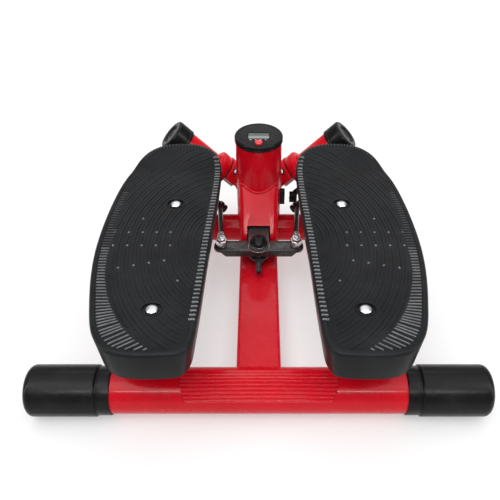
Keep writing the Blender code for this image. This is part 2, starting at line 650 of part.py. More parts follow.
def left_pedal_mesh():
    """Hollow foot plate: skin and walls of one thickness, open below, notched at the toe for the arm."""
    shape = bmesh.new()
    curve = outline_curve(PEDAL_OUTLINE, 3)
    heel = min(y for x, y in curve)
    outline = [(x, y - LENGTH / 2 - heel) for x, y in curve]
    face = shape.faces.new([shape.verts.new((x, y, PEDAL_TOP)) for x, y in outline])
    walls = bmesh.ops.extrude_edge_only(shape, edges=face.edges[:])["geom"]
    for vert in [v for v in walls if isinstance(v, bmesh.types.BMVert)]:
        vert.co.x = PEDAL_CENTRE[0] + (vert.co.x - PEDAL_CENTRE[0]) * PEDAL_DRAFT[0]
        vert.co.y = PEDAL_CENTRE[1] + (vert.co.y - PEDAL_CENTRE[1]) * PEDAL_DRAFT[1]
        vert.co.z -= PEDAL_WALL
    for y in PEDAL_SLICES + TOE_SLICES:
        everything = shape.verts[:] + shape.edges[:] + shape.faces[:]
        bmesh.ops.bisect_plane(shape, geom=everything, plane_co=(0, y, 0), plane_no=(0, 1, 0))
    bmesh.ops.remove_doubles(shape, verts=shape.verts, dist=0.0015)
    for vert in shape.verts:
        if vert.co.z > PEDAL_TOP - PEDAL_WALL / 2:
            vert.co.z += toe_height(vert.co.y)
    bmesh.ops.recalc_face_normals(shape, faces=shape.faces)
    shape.normal_update()
    if sum(f.normal.z * f.calc_area() for f in shape.faces) < 0:
        bmesh.ops.reverse_faces(shape, faces=shape.faces)
    rim = [e for e in shape.edges if len(e.link_faces) == 2 and e.calc_face_angle() > 1.0
           and e.verts[0].co.z > 0.14 and e.verts[1].co.z > 0.14]
    bmesh.ops.bevel(shape, geom=rim, offset=0.0020, segments=1, profile=0.5, affect="EDGES")
    mesh = bpy.data.meshes.new("pedal_shell")
    shape.to_mesh(mesh)
    shape.free()
    plate = place("pedal_shell", mesh)
    skin = plate.modifiers.new("Skin", "SOLIDIFY")
    skin.thickness = PEDAL_SKIN
    skin.offset = -1
    skin.use_even_offset = True
    half_w = ARM_SIZE[0] / 2
    notch = box("arm_notch", (-half_w - 0.001, 0.0900, 0.1000),
                (half_w + 0.001, 0.1500, ARM_TOP + 0.0005), matrix=arm_place(-1))
    cut(plate, notch)
    for end in ("front", "rear"):
        recess = prism("bolt_recess", rocker_outline(0.0115, 0.0088, 0.0087), 0.004,
                       matrix=bolt_place(end, -1) @ Matrix.Translation((0, 0, PEDAL_TOP + 0.0005)))
        cut(plate, recess, bolt_hole(end, -1))
    bpy.context.view_layer.update()
    view = bpy.context.evaluated_depsgraph_get()
    return bpy.data.meshes.new_from_object(plate.evaluated_get(view))


def pedal(label, side, left_mesh):
    mesh = left_mesh.copy()
    mesh.name = "pedal_" + label
    if side > 0:
        mesh.transform(Matrix.Scale(-1, 4, (1, 0, 0)))
        mesh.flip_normals()
    return place("pedal_" + label, mesh, "pedal_plastic")


def magnet_holder(frame):
    """Forked magnet holder on the right lug, which passes the step sensor."""
    strip_frame = frame @ Matrix.Rotation(math.atan2(-0.0293, 0.0063), 4, "Z")
    holder = box("magnet_holder", (0.0289, -0.0045, 0.0640), (0.0315, 0.0045, LUG_END),
                 "black_plastic", strip_frame)
    pad = box("magnet_pad", (0.0274, -0.0040, LUG_START + 0.001), (0.0305, 0.0040, LUG_END - 0.001),
              matrix=strip_frame)
    block = box("magnet_block", (0.0425, 0.1300, 0.0735), (0.0530, 0.1388, 0.0865))
    slot = box("magnet_slot", (0.0300, 0.1200, 0.0778), (0.0485, 0.1500, 0.0822))
    join(holder, pad, block)
    cut(holder, slot)
    return holder


# --- Dampers ---
def damper(label, side):
    """Hydraulic damper under the pedal, from the front foot tube to the arm."""
    foot = mirrored(DAMPER_FOOT, side)
    head = mirrored(DAMPER_HEAD, side)
    turn = axis_frame(side).to_3x3().to_4x4()
    axis_way = turn.to_3x3() @ Vector((0, 0, 1))
    aim = (head - foot).normalized()
    length = (head - foot).length

    clamp = ring("damper_bracket_" + label, FRONT_TUBE_R + 0.004, FRONT_TUBE_R + GAP, 0.131, 0.149,
                 "red_paint", along_x(FRONT_Y, FOOT_Z, side))
    inner_end = foot - axis_way * 0.0118
    root = mirrored((-0.1355, FRONT_Y - 0.0105, FOOT_Z + 0.0135), side)
    strut = rod("damper_strut_" + label, inner_end - (root - inner_end).normalized() * 0.003, root,
                0.0062, segments=SMALL)
    pin = rod("damper_pin_" + label, inner_end - axis_way * 0.003, foot + axis_way * 0.0085, 0.0040,
              segments=SMALL)
    pin_head = rod("damper_pin_head_" + label, foot + axis_way * 0.0060, foot + axis_way * 0.0085,
                   0.0070, segments=SMALL)
    join(clamp, strut, pin, pin_head)
    cut(clamp, front_tube_space)

    cylinder = ring("damper_cylinder_" + label, 0.0082, 0.0044, -0.0045, 0.0045, "damper_black",
                    Matrix.Translation(foot) @ turn)
    body = turned("damper_body_" + label,
                  [(0.0036, 0.0640), (0.0095, 0.0640), (0.0110, 0.0625), (0.0110, 0.0150),
                   (0.0060, 0.0105), (0.0045, 0.0070), (0, 0.0070), (0, 0.0180), (0.0036, 0.0180)],
                  None, shaft_frame(foot, aim), closed=True)
    join(cylinder, body)
    piston = ring("damper_rod_" + label, 0.0085, 0.0050, -0.0040, 0.0040, "zinc_steel",
                  Matrix.Translation(head) @ turn)
    stem = rod("damper_stem_" + label, foot + aim * 0.0440, foot + aim * (length - 0.0065), 0.0032,
               segments=24)
    join(piston, stem)
    attach(joint_axis("damper_axis_" + label, Matrix.Translation(foot) @ turn), cylinder)
    attach(joint_axis("damper_slide_" + label, shaft_frame(foot, aim)), piston)


# --- Assembly ---
foot_tube("rear_foot_tube", REAR_Y, REAR_TUBE_R, 0.236)
foot_tube("front_foot_tube", FRONT_Y, FRONT_TUBE_R, 0.181)
ribbed_saddle()
base_beam()
column_tube()
rocker_housing()
display()
rocker()
pedal_mesh = left_pedal_mesh()
sensor = box("step_sensor", (0.0255, 0.1300, 0.0700), (0.0360, 0.1385, 0.0920), "black_plastic")
cut(sensor, column_space)
for word, sign in SIDES.items():
    foot_cap("rear_foot_cap_" + word, REAR_Y, REAR_TUBE_R, 0.0265, REAR_CAP_START, REAR_CAP_END, sign)
    foot_cap("front_foot_cap_" + word, FRONT_Y, FRONT_TUBE_R, 0.0215, FRONT_CAP_START,
             FRONT_CAP_END, sign)
    pivot_stub(word, sign)
    pivot_shaft(word, sign)
    stub_gusset(word, sign)
    pedal_arm(word, sign, pedal_mesh)
    link_rod(word, sign)
    damper(word, sign)
for built in parts.objects:
    if built.type == "MESH":
        smooth(built)
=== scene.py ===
"""Looks of the twist stepper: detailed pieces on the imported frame, finishes, light and camera. Metres."""
import math

import bmesh
import bpy
from mathutils import Matrix, Vector, noise


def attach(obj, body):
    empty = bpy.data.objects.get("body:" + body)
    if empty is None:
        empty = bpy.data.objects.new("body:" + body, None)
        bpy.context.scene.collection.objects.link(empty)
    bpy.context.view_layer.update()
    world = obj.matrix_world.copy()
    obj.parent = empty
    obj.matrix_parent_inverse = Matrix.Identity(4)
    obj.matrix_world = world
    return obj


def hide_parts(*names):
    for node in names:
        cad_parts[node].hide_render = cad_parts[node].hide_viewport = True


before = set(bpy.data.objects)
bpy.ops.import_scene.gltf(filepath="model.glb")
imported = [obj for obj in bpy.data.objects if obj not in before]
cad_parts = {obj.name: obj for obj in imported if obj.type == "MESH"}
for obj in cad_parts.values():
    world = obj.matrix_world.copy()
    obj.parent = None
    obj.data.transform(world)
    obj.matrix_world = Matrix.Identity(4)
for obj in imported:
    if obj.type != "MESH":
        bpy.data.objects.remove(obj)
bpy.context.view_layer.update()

# --- Dimensions shared with the CAD ---
GAP = 0.0003
LENGTH = 0.391
REAR_Y = -0.1475
FOOT_Z = 0.0274
REAR_TUBE_R = 0.025
REAR_CAP = (0.158, 0.250, 0.0265)       # start, end, neck radius
FOOT_CAP_R = 0.028
FRONT_Y = 0.1315
FRONT_TUBE_R = 0.019
FRONT_CAP = (0.152, 0.195, 0.0215)
TUBE_WALL = 0.002
BEAM_WIDTH = 0.050
BEAM_TOP = 0.0365
BEAM_LOW = 0.0115
SADDLE_HALF = 0.084
COLUMN_Y = 0.1355
COLUMN_R = 0.030
COLUMN_TOP = 0.1705
DISPLAY_R = 0.0313
DISPLAY_TOP = 0.178
LCD_Y = COLUMN_Y - 0.0012
LCD_HALF = (0.0135, 0.0075)
BUTTON_Y = COLUMN_Y - 0.0199
BUTTON_R = 0.005
HOUSING_HALF = 0.026
HOUSING_SLOPE = ((0.1120, 0.1154), (0.0651, 0.0620))    # (y, z) of its top and bottom edge
MOUTH_HALF = 0.0152
PIVOT_Y = LENGTH / 2 - 0.028
PIVOT_Z = 0.043
STUB_R = 0.028
STUB_END = 0.076
LUG_START = 0.0786
LUG_END = 0.0900
LUG_R = 0.027
LUG_EYE_R = 0.009
SLEEVE_R = 0.019
SLEEVE_END = 0.151
SHAFT_R = 0.012
NECK_R = 0.006
HUB_OPENING = 0.001
HUB_SLANT = math.radians(26.7)
BUSH_R = 0.015
CAP_R = 0.021
CAP_START = 0.144
ROCKER_Y = 0.0465
ROCKER_TOP = 0.067
STUD_X = 0.048
STUD_Y = ROCKER_Y + 0.0012
FORK_R = 0.0135
FORK_PLATE = 0.0035
ROD_END_Z = 0.073
LINK_AXIAL = 0.0495
LINK_OUT = 0.0283
LINK_Y = -0.025
PIN_R = 0.0055
PEDAL_TOP = 0.150
PEDAL_WALL = 0.037
PEDAL_CENTRE = (-0.115, -0.028)
PEDAL_DRAFT = (0.93, 0.995)
PEDAL_SKIN = 0.0035
TOE_RISE = 0.013
TOE_START = 0.092
TOE_END = 0.1395
ARM_HALF = 0.019
ARM_LOW = 0.1215
ARM_TOP = 0.1455
BOLT_HOLE_R = 0.0043
PEDAL_BOLTS = {"front": (-0.0978, 0.0279), "rear": (-0.1034, -0.1389)}
DAMPER_FOOT = (-0.140, 0.110, 0.052)
DAMPER_HEAD = (-0.084, 0.060, 0.108)
PEDAL_OUTLINE = [
    (-0.0945, 0.1405), (-0.0700, 0.1350), (-0.0535, 0.1215), (-0.0477, 0.1050), (-0.0538, -0.0555),
    (-0.0580, -0.1475), (-0.0615, -0.1800), (-0.0690, -0.1915), (-0.0840, -0.1950), (-0.1360, -0.1915),
    (-0.1545, -0.1715), (-0.1670, -0.1275), (-0.1765, -0.0555), (-0.1730, 0.0345), (-0.1630, 0.0885),
    (-0.1480, 0.1195), (-0.1235, 0.1365),
]
# Tread pattern of the left pedal
TREAD_SINK = 0.0010             # tread below the rim
FIELD_MARGIN = 0.0075           # plain border around the grooves
TICK_MARGIN = 0.0085            # more border where the ticks run along the outer edge
TOOTH_MARGIN = 0.0105           # and where the teeth run along the inner edge
TOE_TICKS_START = 0.108
TICKS_TOP = 0.050
FAN_TOP = -0.020
BOLT_CLEAR = (0.0124, 0.0102)
NUB_CLEAR = 0.0026
GROOVE_CENTRE = (-0.032, -0.040)
GROOVE_RATIO = 1.35             # y axis of the groove ellipses against their x axis
GROOVE_PITCH = 0.0040
FAN_CENTRE = (-0.058, -0.055)
FAN_AXES = (0.103, 0.145)
NUB_ROWS = [(-0.132, 0.000, 1, 0.0), (-0.098, -0.024, 5, 0.0), (-0.096, -0.046, 5, 0.0),
            (-0.0997, -0.070, 5, -0.0037), (-0.067, -0.100, 2, 0.0)]
NUB_PITCH = 0.0155
TEETH = 49                      # along the inner edge
TEETH_START = 0.1165
TOOTH_PITCH = 0.0056
FAN_PITCH = 0.0040
FAN_TURN = math.radians(32)     # lean of the last ticks at the heel

SIDES = {"left": -1, "right": 1}
CLOSE = 0.0001                  # clearance of pressed and welded pieces, finer than the CAD's
ROUND = 96                      # segments around large and small turned pieces
SMALL = 40
WEAR_START, WEAR_FULL = 0.52, 0.60      # pointiness of an edge


# --- Finishes ---
FINISHES = {}


def node(tree, kind, **values):
    made = tree.nodes.new(kind)
    for key, value in values.items():
        if hasattr(made, key):
            setattr(made, key, value)
        else:
            made.inputs[key.replace("_", " ")].default_value = value
    return made


def spread(tree, value, start, end, low, high, **kind):
    """The range start..end of a value mapped to low..high; gives the output socket."""
    mapped = node(tree, "ShaderNodeMapRange", From_Min=start, From_Max=end, To_Min=low, To_Max=high, **kind)
    tree.links.new(value, mapped.inputs["Value"])
    return mapped.outputs["Result"]


def noise_between(tree, coords, scale, low, high, detail=4.0):
    """A noise pattern spread over the range low..high; gives the output socket."""
    pattern = node(tree, "ShaderNodeTexNoise", Scale=scale, Detail=detail, Roughness=0.6)
    tree.links.new(coords, pattern.inputs["Vector"])
    return spread(tree, pattern.outputs["Fac"], 0.3, 0.7, low, high)


def finish(name, colour, roughness, metallic=0.0, light=None, tone_scale=22.0, vary=0.08, grain=1100.0,
           depth=0.00006, strength=0.35, coat=0.0, specular=0.5, wear=None, stretch=None, edge=0.0005):
    """Material with uneven colour and gloss, a fine surface grain, worn edges and softened corners."""
    made = bpy.data.materials.new(name)
    made.use_nodes = True
    tree = made.node_tree
    link = tree.links.new
    shader = tree.nodes["Principled BSDF"]
    coords = node(tree, "ShaderNodeTexCoord").outputs["Object"]
    if stretch:
        squeeze = node(tree, "ShaderNodeMapping")
        squeeze.inputs["Scale"].default_value = stretch
        link(coords, squeeze.inputs["Vector"])
        fine_coords = squeeze.outputs["Vector"]
    else:
        fine_coords = coords
    other = light or [min(1, c * 1.35 + 0.004) for c in colour]
    blend = node(tree, "ShaderNodeMix", data_type="RGBA")
    blend.inputs[6].default_value = (*colour, 1)
    blend.inputs[7].default_value = (*other, 1)
    link(noise_between(tree, coords, tone_scale, 0, 1), blend.inputs[0])
    top = blend.outputs[2]
    if wear:
        amount, worn = wear
        edges = node(tree, "ShaderNodeNewGeometry").outputs["Pointiness"]
        patchy = node(tree, "ShaderNodeMath", operation="MULTIPLY")
        link(spread(tree, edges, WEAR_START, WEAR_FULL, 0, amount), patchy.inputs[0])
        link(noise_between(tree, coords, 160, 0, 1, 6), patchy.inputs[1])
        rub = node(tree, "ShaderNodeMix", data_type="RGBA")
        rub.inputs[7].default_value = (*worn, 1)
        link(patchy.outputs[0], rub.inputs[0])
        link(top, rub.inputs[6])
        top = rub.outputs[2]
    link(top, shader.inputs["Base Color"])
    gloss = noise_between(tree, coords, tone_scale * 5, roughness - vary, roughness + vary, 6)
    link(gloss, shader.inputs["Roughness"])
    shader.inputs["Metallic"].default_value = metallic
    shader.inputs["Coat Weight"].default_value = coat
    shader.inputs["Coat Roughness"].default_value = 0.06
    shader.inputs["Specular IOR Level"].default_value = specular
    relief = node(tree, "ShaderNodeBump")
    relief.inputs["Strength"].default_value = strength
    relief.inputs["Distance"].default_value = depth
    link(noise_between(tree, fine_coords, grain, 0, 1, 3), relief.inputs["Height"])
    corner = node(tree, "ShaderNodeBevel", samples=4)
    corner.inputs["Radius"].default_value = edge
    link(corner.outputs["Normal"], relief.inputs["Normal"])
    link(relief.outputs["Normal"], shader.inputs["Normal"])
    made.diffuse_color = (*colour, 1)
    FINISHES[name] = made
    return made


finish("red_paint", (0.56, 0.0020, 0.010), 0.26, light=(0.64, 0.003, 0.015), tone_scale=14, grain=420,
       depth=0.00004, strength=0.25, specular=0.12, coat=0.14, wear=(0.25, (0.72, 0.05, 0.07)))
finish("black_plastic", (0.005, 0.005, 0.0055), 0.26, grain=1500, strength=0.4, specular=0.13,
       wear=(0.20, (0.04, 0.04, 0.043)))
finish("pedal_plastic", (0.0085, 0.009, 0.0098), 0.36, grain=1300, strength=0.5, specular=0.09,
       wear=(0.15, (0.04, 0.04, 0.045)))
# The two tread finishes below are lighter copies of the black pedal plastic: painted highlight on the
# teeth, ticks and nubs, which are moulded in the same plastic as the pedal.
finish("tread_bright", (0.085, 0.088, 0.092), 0.36, light=(0.19, 0.195, 0.20), tone_scale=90,
       grain=1300, strength=0.4, specular=0.35)
finish("tread_faint_highlight", (0.022, 0.023, 0.025), 0.40, light=(0.045, 0.046, 0.05), tone_scale=60,
       grain=1300, strength=0.4, specular=0.35)
finish("black_steel", (0.012, 0.012, 0.014), 0.30, metallic=0.2, grain=700,
       wear=(0.5, (0.22, 0.21, 0.20)))
finish("zinc_steel", (0.52, 0.53, 0.55), 0.30, metallic=1.0, light=(0.66, 0.66, 0.68), tone_scale=120,
       grain=900, stretch=(1, 1, 6), wear=(0.3, (0.9, 0.9, 0.92)))
finish("shaft_steel", (0.42, 0.43, 0.45), 0.22, metallic=1.0, grain=1400, stretch=(1, 1, 14),
       strength=0.2)
finish("bush_nylon", (0.020, 0.020, 0.022), 0.50, grain=1400)
finish("lens_grey", (0.085, 0.100, 0.098), 0.10, light=(0.115, 0.135, 0.130), vary=0.03, tone_scale=60,
       strength=0.05, coat=0.8)
finish("board_green", (0.02, 0.14, 0.06), 0.45, grain=600)
finish("button_red", (0.70, 0.010, 0.022), 0.30, coat=0.4, grain=1600)
finish("damper_black", (0.012, 0.012, 0.013), 0.24, metallic=0.3, coat=0.4,
       wear=(0.3, (0.15, 0.15, 0.15)))
finish("print_white", (0.70, 0.70, 0.70), 0.5, light=(0.8, 0.8, 0.8), strength=0.1)


# --- Mesh helpers ---
def settle(name, shape, surface=None, matrix=None, angle=38):
    """Turn a bmesh into an object with outward normals and smooth shading."""
    bmesh.ops.recalc_face_normals(shape, faces=shape.faces)
    mesh = bpy.data.meshes.new(name)
    shape.to_mesh(mesh)
    shape.free()
    piece = bpy.data.objects.new(name, mesh)
    piece.matrix_world = matrix or Matrix()
    bpy.context.scene.collection.objects.link(piece)
    if surface:
        mesh.materials.append(FINISHES[surface])
    mesh.shade_smooth()
    mesh.set_sharp_from_angle(angle=math.radians(angle))
    return piece


def arc(centre, radius, start, end, steps):
    """Points on a circular arc, angles in degrees."""
    turns = [math.radians(start + (end - start) * i / steps) for i in range(steps + 1)]
    return [(centre[0] + radius * math.cos(t), centre[1] + radius * math.sin(t)) for t in turns]


def eased(points, radius, closed=False, steps=3):
    """A polyline with its corners rounded."""
    out = []
    count = len(points)
    for i, point in enumerate(points):
        here = Vector(point)
        if not closed and i in (0, count - 1):
            out.append(tuple(here))
            continue
        before = Vector(points[i - 1]) - here
        after = Vector(points[(i + 1) % count]) - here
        reach = min(radius, before.length * 0.45, after.length * 0.45)
        a, b = here + before.normalized() * reach, here + after.normalized() * reach
        for k in range(steps + 1):
            t = k / steps
            out.append(tuple(a.lerp(here, t).lerp(here.lerp(b, t), t)))
    return out


def lathe(name, profile, surface=None, matrix=None, segments=ROUND, closed=False, ease=0.0004):
    """A turned piece from (radius, height) points, spun about local Z, with its corners eased."""
    if ease:
        profile = eased(profile, ease, closed)
    shape = bmesh.new()
    rings = []
    for radius, height in profile:
        if radius < 1e-6:
            rings.append([shape.verts.new((0, 0, height))])
            continue
        turns = [2 * math.pi * i / segments for i in range(segments)]
        rings.append([shape.verts.new((radius * math.cos(t), radius * math.sin(t), height))
                      for t in turns])
    pairs = list(zip(rings, rings[1:]))
    if closed:
        pairs.append((rings[-1], rings[0]))
    for a, b in pairs:
        for i in range(segments):
            j = (i + 1) % segments
            corners = [a[i % len(a)], a[j % len(a)], b[j % len(b)], b[i % len(b)]]
            corners = list(dict.fromkeys(corners))
            if len(corners) > 2:
                shape.faces.new(corners)
    return settle(name, shape, surface, matrix)


def tube(name, outer, inner, low, high, surface=None, matrix=None, segments=ROUND, ease=0.0005):
    profile = [(outer, high), (outer, low), (inner, low), (inner, high)]
    return lathe(name, profile, surface, matrix, segments, True, ease)


def dome(radius, base, rise, start, end, steps):
    """Profile points of a flattened dome, from one height angle to another in degrees."""
    turns = [math.radians(start + (end - start) * i / steps) for i in range(steps + 1)]
    return [(radius * math.cos(t), base + rise * math.sin(t)) for t in turns]


def area(points):
    return sum(a[0] * b[1] - b[0] * a[1] for a, b in zip(points, points[1:] + points[:1])) / 2


def inset(points, distance):
    """A closed outline moved inwards."""
    turn = 1 if area(points) > 0 else -1
    out = []
    count = len(points)
    for i, point in enumerate(points):
        before = (Vector(point) - Vector(points[i - 1])).normalized()
        after = (Vector(points[(i + 1) % count]) - Vector(point)).normalized()
        way = before + after
        normal = Vector((-way.y, way.x)).normalized() * turn
        lean = max(0.5, abs(normal.dot(Vector((-after.y, after.x)))))
        out.append(tuple(Vector(point) + normal * distance / lean))
    return out


def loft(shape, rings):
    """Join rings of equal count with quads and close both ends."""
    made = [[shape.verts.new(p) for p in ring] for ring in rings]
    count = len(made[0])
    for a, b in zip(made, made[1:]):
        for i in range(count):
            j = (i + 1) % count
            shape.faces.new((a[i], a[j], b[j], b[i]))
    shape.faces.new(made[0])
    shape.faces.new(made[-1])


def plate(name, outline, thickness, surface=None, matrix=None, edge=0.0005):
    """A flat outline given thickness about its own plane, with its rims rounded."""
    half = thickness / 2
    levels = [(edge, -half), (edge * 0.3, -half + edge * 0.3), (0, -half + edge), (0, half - edge),
              (edge * 0.3, half - edge * 0.3), (edge, half)]
    shape = bmesh.new()
    loft(shape, [[(x, y, z) for x, y in (inset(outline, d) if d else outline)] for d, z in levels])
    return settle(name, shape, surface, matrix)


def block(name, low, high, surface=None, matrix=None, bevel=0.0006, segments=3):
    shape = bmesh.new()
    bmesh.ops.create_cube(shape, size=1)
    bmesh.ops.scale(shape, vec=[b - a for a, b in zip(low, high)], verts=shape.verts)
    bmesh.ops.translate(shape, vec=[(a + b) / 2 for a, b in zip(low, high)], verts=shape.verts)
    if bevel:
        bmesh.ops.bevel(shape, geom=shape.edges[:], offset=bevel, segments=segments, profile=0.5,
                        affect="EDGES")
    return settle(name, shape, surface, matrix)


def shift(x, y, z):
    return Matrix.Translation((x, y, z))


def shaft_frame(start, direction):
    turn = Vector((0, 0, 1)).rotation_difference(Vector(direction).normalized())
    return Matrix.Translation(start) @ turn.to_matrix().to_4x4()


def rod(name, start, end, radius, surface=None, segments=SMALL, ease=0.0004):
    reach = Vector(end) - Vector(start)
    profile = [(0, reach.length), (radius, reach.length), (radius, 0), (0, 0)]
    return lathe(name, profile, surface, shaft_frame(start, reach), segments, ease=ease)


def change(target, operation, tools, angle=38):
    """Cut, join or clip the target with the tools, which are used up."""
    for tool in tools:
        step = target.modifiers.new(operation, "BOOLEAN")
        step.operation = operation
        step.solver = "EXACT"
        step.object = tool
    bpy.context.view_layer.update()
    view = bpy.context.evaluated_depsgraph_get()
    mesh = bpy.data.meshes.new_from_object(target.evaluated_get(view))
    mesh.name = target.name
    target.modifiers.clear()
    target.data = mesh
    mesh.shade_smooth()
    mesh.set_sharp_from_angle(angle=math.radians(angle))
    for tool in tools:
        bpy.data.objects.remove(tool, do_unlink=True)
    return target


def cut(target, *tools):
    return change(target, "DIFFERENCE", tools)


def merge(target, *others):
    """One object out of several closed pieces that are welded or moulded together."""
    shape = bmesh.new()
    inverse = target.matrix_world.inverted()
    for other in (target, *others):
        copy = other.data.copy()
        copy.transform(inverse @ other.matrix_world)
        shape.from_mesh(copy)
        bpy.data.meshes.remove(copy)
    mesh = bpy.data.meshes.new(target.name)
    shape.to_mesh(mesh)
    shape.free()
    for used in target.data.materials:
        mesh.materials.append(used)
    target.data = mesh
    mesh.shade_smooth()
    mesh.set_sharp_from_angle(angle=math.radians(38))
    for other in others:
        bpy.data.objects.remove(other, do_unlink=True)
    return target


def hole(spot, low, high, radius, segments=SMALL):
    """Cylinder to cut with, along the local Z of a place."""
    return rod("hole", spot @ Vector((0, 0, low)), spot @ Vector((0, 0, high)), radius, None, segments, 0)


def socket(target, radius, depth, spot, height):
    """Cut a hexagon socket centred at a height along the local Z of a place."""
    cut(target, plate("socket", hexagon(radius), depth, matrix=spot @ shift(0, 0, height), edge=0))


def threads(radius, low, high, pitch=0.0011, depth=0.0005):
    """Profile points of a screw thread, from high to low."""
    count = max(2, int((high - low) / pitch))
    points = []
    for i in range(count):
        top = high - (high - low) * i / count
        points += [(radius - depth, top), (radius, top - pitch * 0.5)]
    points.append((radius - depth, low))
    return points


def oblong(half_x, half_y, corner):
    corners = [(-half_x, -half_y), (half_x, -half_y), (half_x, half_y), (-half_x, half_y)]
    return eased(corners, corner, True)


def hexagon(radius, turn=0.0):
    return [(radius * math.cos(turn + math.pi * i / 3), radius * math.sin(turn + math.pi * i / 3))
            for i in range(6)]


def bead(path, radius, ripple=0.0022, closed=False, seed=0.0):
    """Weld bead: a rippled, slightly uneven roll of metal along a path."""
    points = [Vector(p) for p in path]
    if closed:
        points.append(points[0])
    fine, travelled = [], 0.0
    for a, b in zip(points, points[1:]):
        steps = max(1, round((b - a).length / 0.0005))
        for i in range(steps):
            fine.append((a.lerp(b, i / steps), travelled + (b - a).length * i / steps))
        travelled += (b - a).length
    fine.append((points[-1], travelled))
    shape = bmesh.new()
    rings = []
    for i, (centre, along) in enumerate(fine):
        before = fine[max(0, i - 2)][0]
        after = fine[min(len(fine) - 1, i + 2)][0]
        way = (after - before).normalized()
        across = way.cross(Vector((0.31, 0.17, 0.93))).normalized()
        over = way.cross(across)
        wave = abs(math.sin(math.pi * along / ripple))
        uneven = noise.noise(Vector((along * 180, seed, 0)))
        here = radius * (0.84 + 0.16 * wave + 0.10 * uneven)
        end = min(along, travelled - along) / (radius * 1.5)
        here *= max(0.12, min(1, end)) if not closed else 1
        rings.append([centre + across * here * math.cos(math.pi * k / 5)
                      + over * here * math.sin(math.pi * k / 5) for k in range(10)])
    loft(shape, rings)
    return settle("weld", shape, "red_paint", angle=80)


def fit(piece, body, slot=None):
    """Mount a finished piece on its body, in place of the CAD node of its name, if there is one."""
    piece.data.transform(piece.matrix_world)
    piece.matrix_world = Matrix()
    slot = slot or piece.data.materials[0].name.split(".")[0]
    nodes = [name for name in [piece.name.split(".")[0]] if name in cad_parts]
    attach(piece, body)
    if nodes:
        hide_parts(*nodes)
    return piece


def axis_frame(side):
    return shift(0, PIVOT_Y, PIVOT_Z) @ Matrix.Rotation(side * math.radians(45), 4, "Y")


def mirrored(point, side):
    return Vector((-side * point[0], point[1], point[2]))


ACROSS = Matrix.Rotation(math.pi / 2, 4, "Y")
SIDE_PLANE = Matrix(((0, 0, 1, 0), (1, 0, 0, 0), (0, 1, 0, 0), (0, 0, 0, 1)))
FRONT_PLANE = Matrix(((1, 0, 0, 0), (0, 0, -1, 0), (0, 1, 0, 0), (0, 0, 0, 1)))


def along_x(y, z, side=1):
    return shift(0, y, z) @ (ACROSS if side > 0 else ACROSS.inverted())


def tube_space(y, radius):
    return rod("tube_space", (-0.3, y, FOOT_Z), (0.3, y, FOOT_Z), radius, segments=ROUND, ease=0)


def column_space():
    return hole(shift(0, COLUMN_Y, 0), -0.01, 0.25, COLUMN_R + CLOSE, ROUND)


# --- Base frame ---
def foot_cap(label, end_name, y, tube_r, spec, side):
    """Moulded cap: neck, groove, rounded end, parting line, and grooved flat feet underneath."""
    start, end, neck_r = spec
    neck_end = start + 0.0135
    rim = arc((end - 0.0075, FOOT_CAP_R - 0.0075), 0.0075, 0, 90, 10)
    rim = [(r, h) for h, r in rim]
    outer = [(0, end)] + rim
    groove = [(FOOT_CAP_R, neck_end + 0.0034), (FOOT_CAP_R - 0.0012, neck_end + 0.0020),
              (neck_r - 0.0009, neck_end + 0.0018), (neck_r - 0.0009, neck_end + 0.0002)]
    neck = [(neck_r, neck_end - 0.0004), (neck_r, start + 0.0008), (neck_r - 0.0006, start)]
    bore = [(tube_r + GAP, start), (tube_r + GAP, end - 0.0105), (0, end - 0.0105)]
    name = end_name + "_foot_cap_" + label
    cap = lathe(name, outer + groove + neck + bore, "black_plastic", along_x(y, FOOT_Z, side), ease=0.0003)
    low = block("floor_space", (-0.4, -0.4, -0.05), (0.4, 0.4, 0.0), bevel=0)
    first = start + 0.022
    grooves = [block("pad_groove", (side * (first + i * 0.005) - 0.0008, y - 0.02, -0.01),
                     (side * (first + i * 0.005) + 0.0008, y + 0.02, 0.0009), bevel=0)
               for i in range(int((end - first - 0.006) / 0.005))]
    cut(cap, low, *grooves)
    seam = [block("parting", (neck_end + 0.004, -0.0003, -FOOT_CAP_R - 0.00022),
                  (end - 0.009, 0.0003, -FOOT_CAP_R + 0.0008), bevel=0.0001,
                  matrix=shift(0, y, FOOT_Z) @ Matrix.Scale(side, 4, (1, 0, 0))
                  @ Matrix.Rotation(turn, 4, "X")) for turn in (math.pi / 2, -math.pi / 2)]
    merge(cap, *seam)
    fit(cap, "frame")


def ribbed_saddle():
    """Thin plate over the rear tube whose ribs run across between the pedals."""
    far, near, steps, ribs = 69, 155, 12, 9
    count = ribs * steps
    outer = []
    for i in range(count + 1):
        turn = math.radians(far + (near - far) * i / count)
        wave = 0.5 - 0.5 * math.cos(2 * math.pi * i / steps)
        radius = REAR_TUBE_R + 0.0008 + 0.0013 * wave ** 0.6
        outer.append((radius * math.cos(turn), radius * math.sin(turn)))
    inner = arc((0, 0), REAR_TUBE_R + 0.0003, near, far, 24)
    place = shift(0, REAR_Y, FOOT_Z) @ SIDE_PLANE
    saddle = plate("ribbed_saddle", outer + inner, 2 * SADDLE_HALF, "red_paint", place, edge=0.0002)
    corners = []
    for side in (-1, 1):
        wedge = [(side * (SADDLE_HALF + 0.001), -0.0135), (side * (SADDLE_HALF - 0.0005), -0.0135),
                 (side * (SADDLE_HALF - 0.010), -0.030), (side * (SADDLE_HALF + 0.001), -0.030)]
        corners.append(plate("corner", wedge, 0.06, edge=0,
                             matrix=shift(0, REAR_Y, FOOT_Z + 0.02)))
    cut(saddle, *corners)
    fit(saddle, "frame")


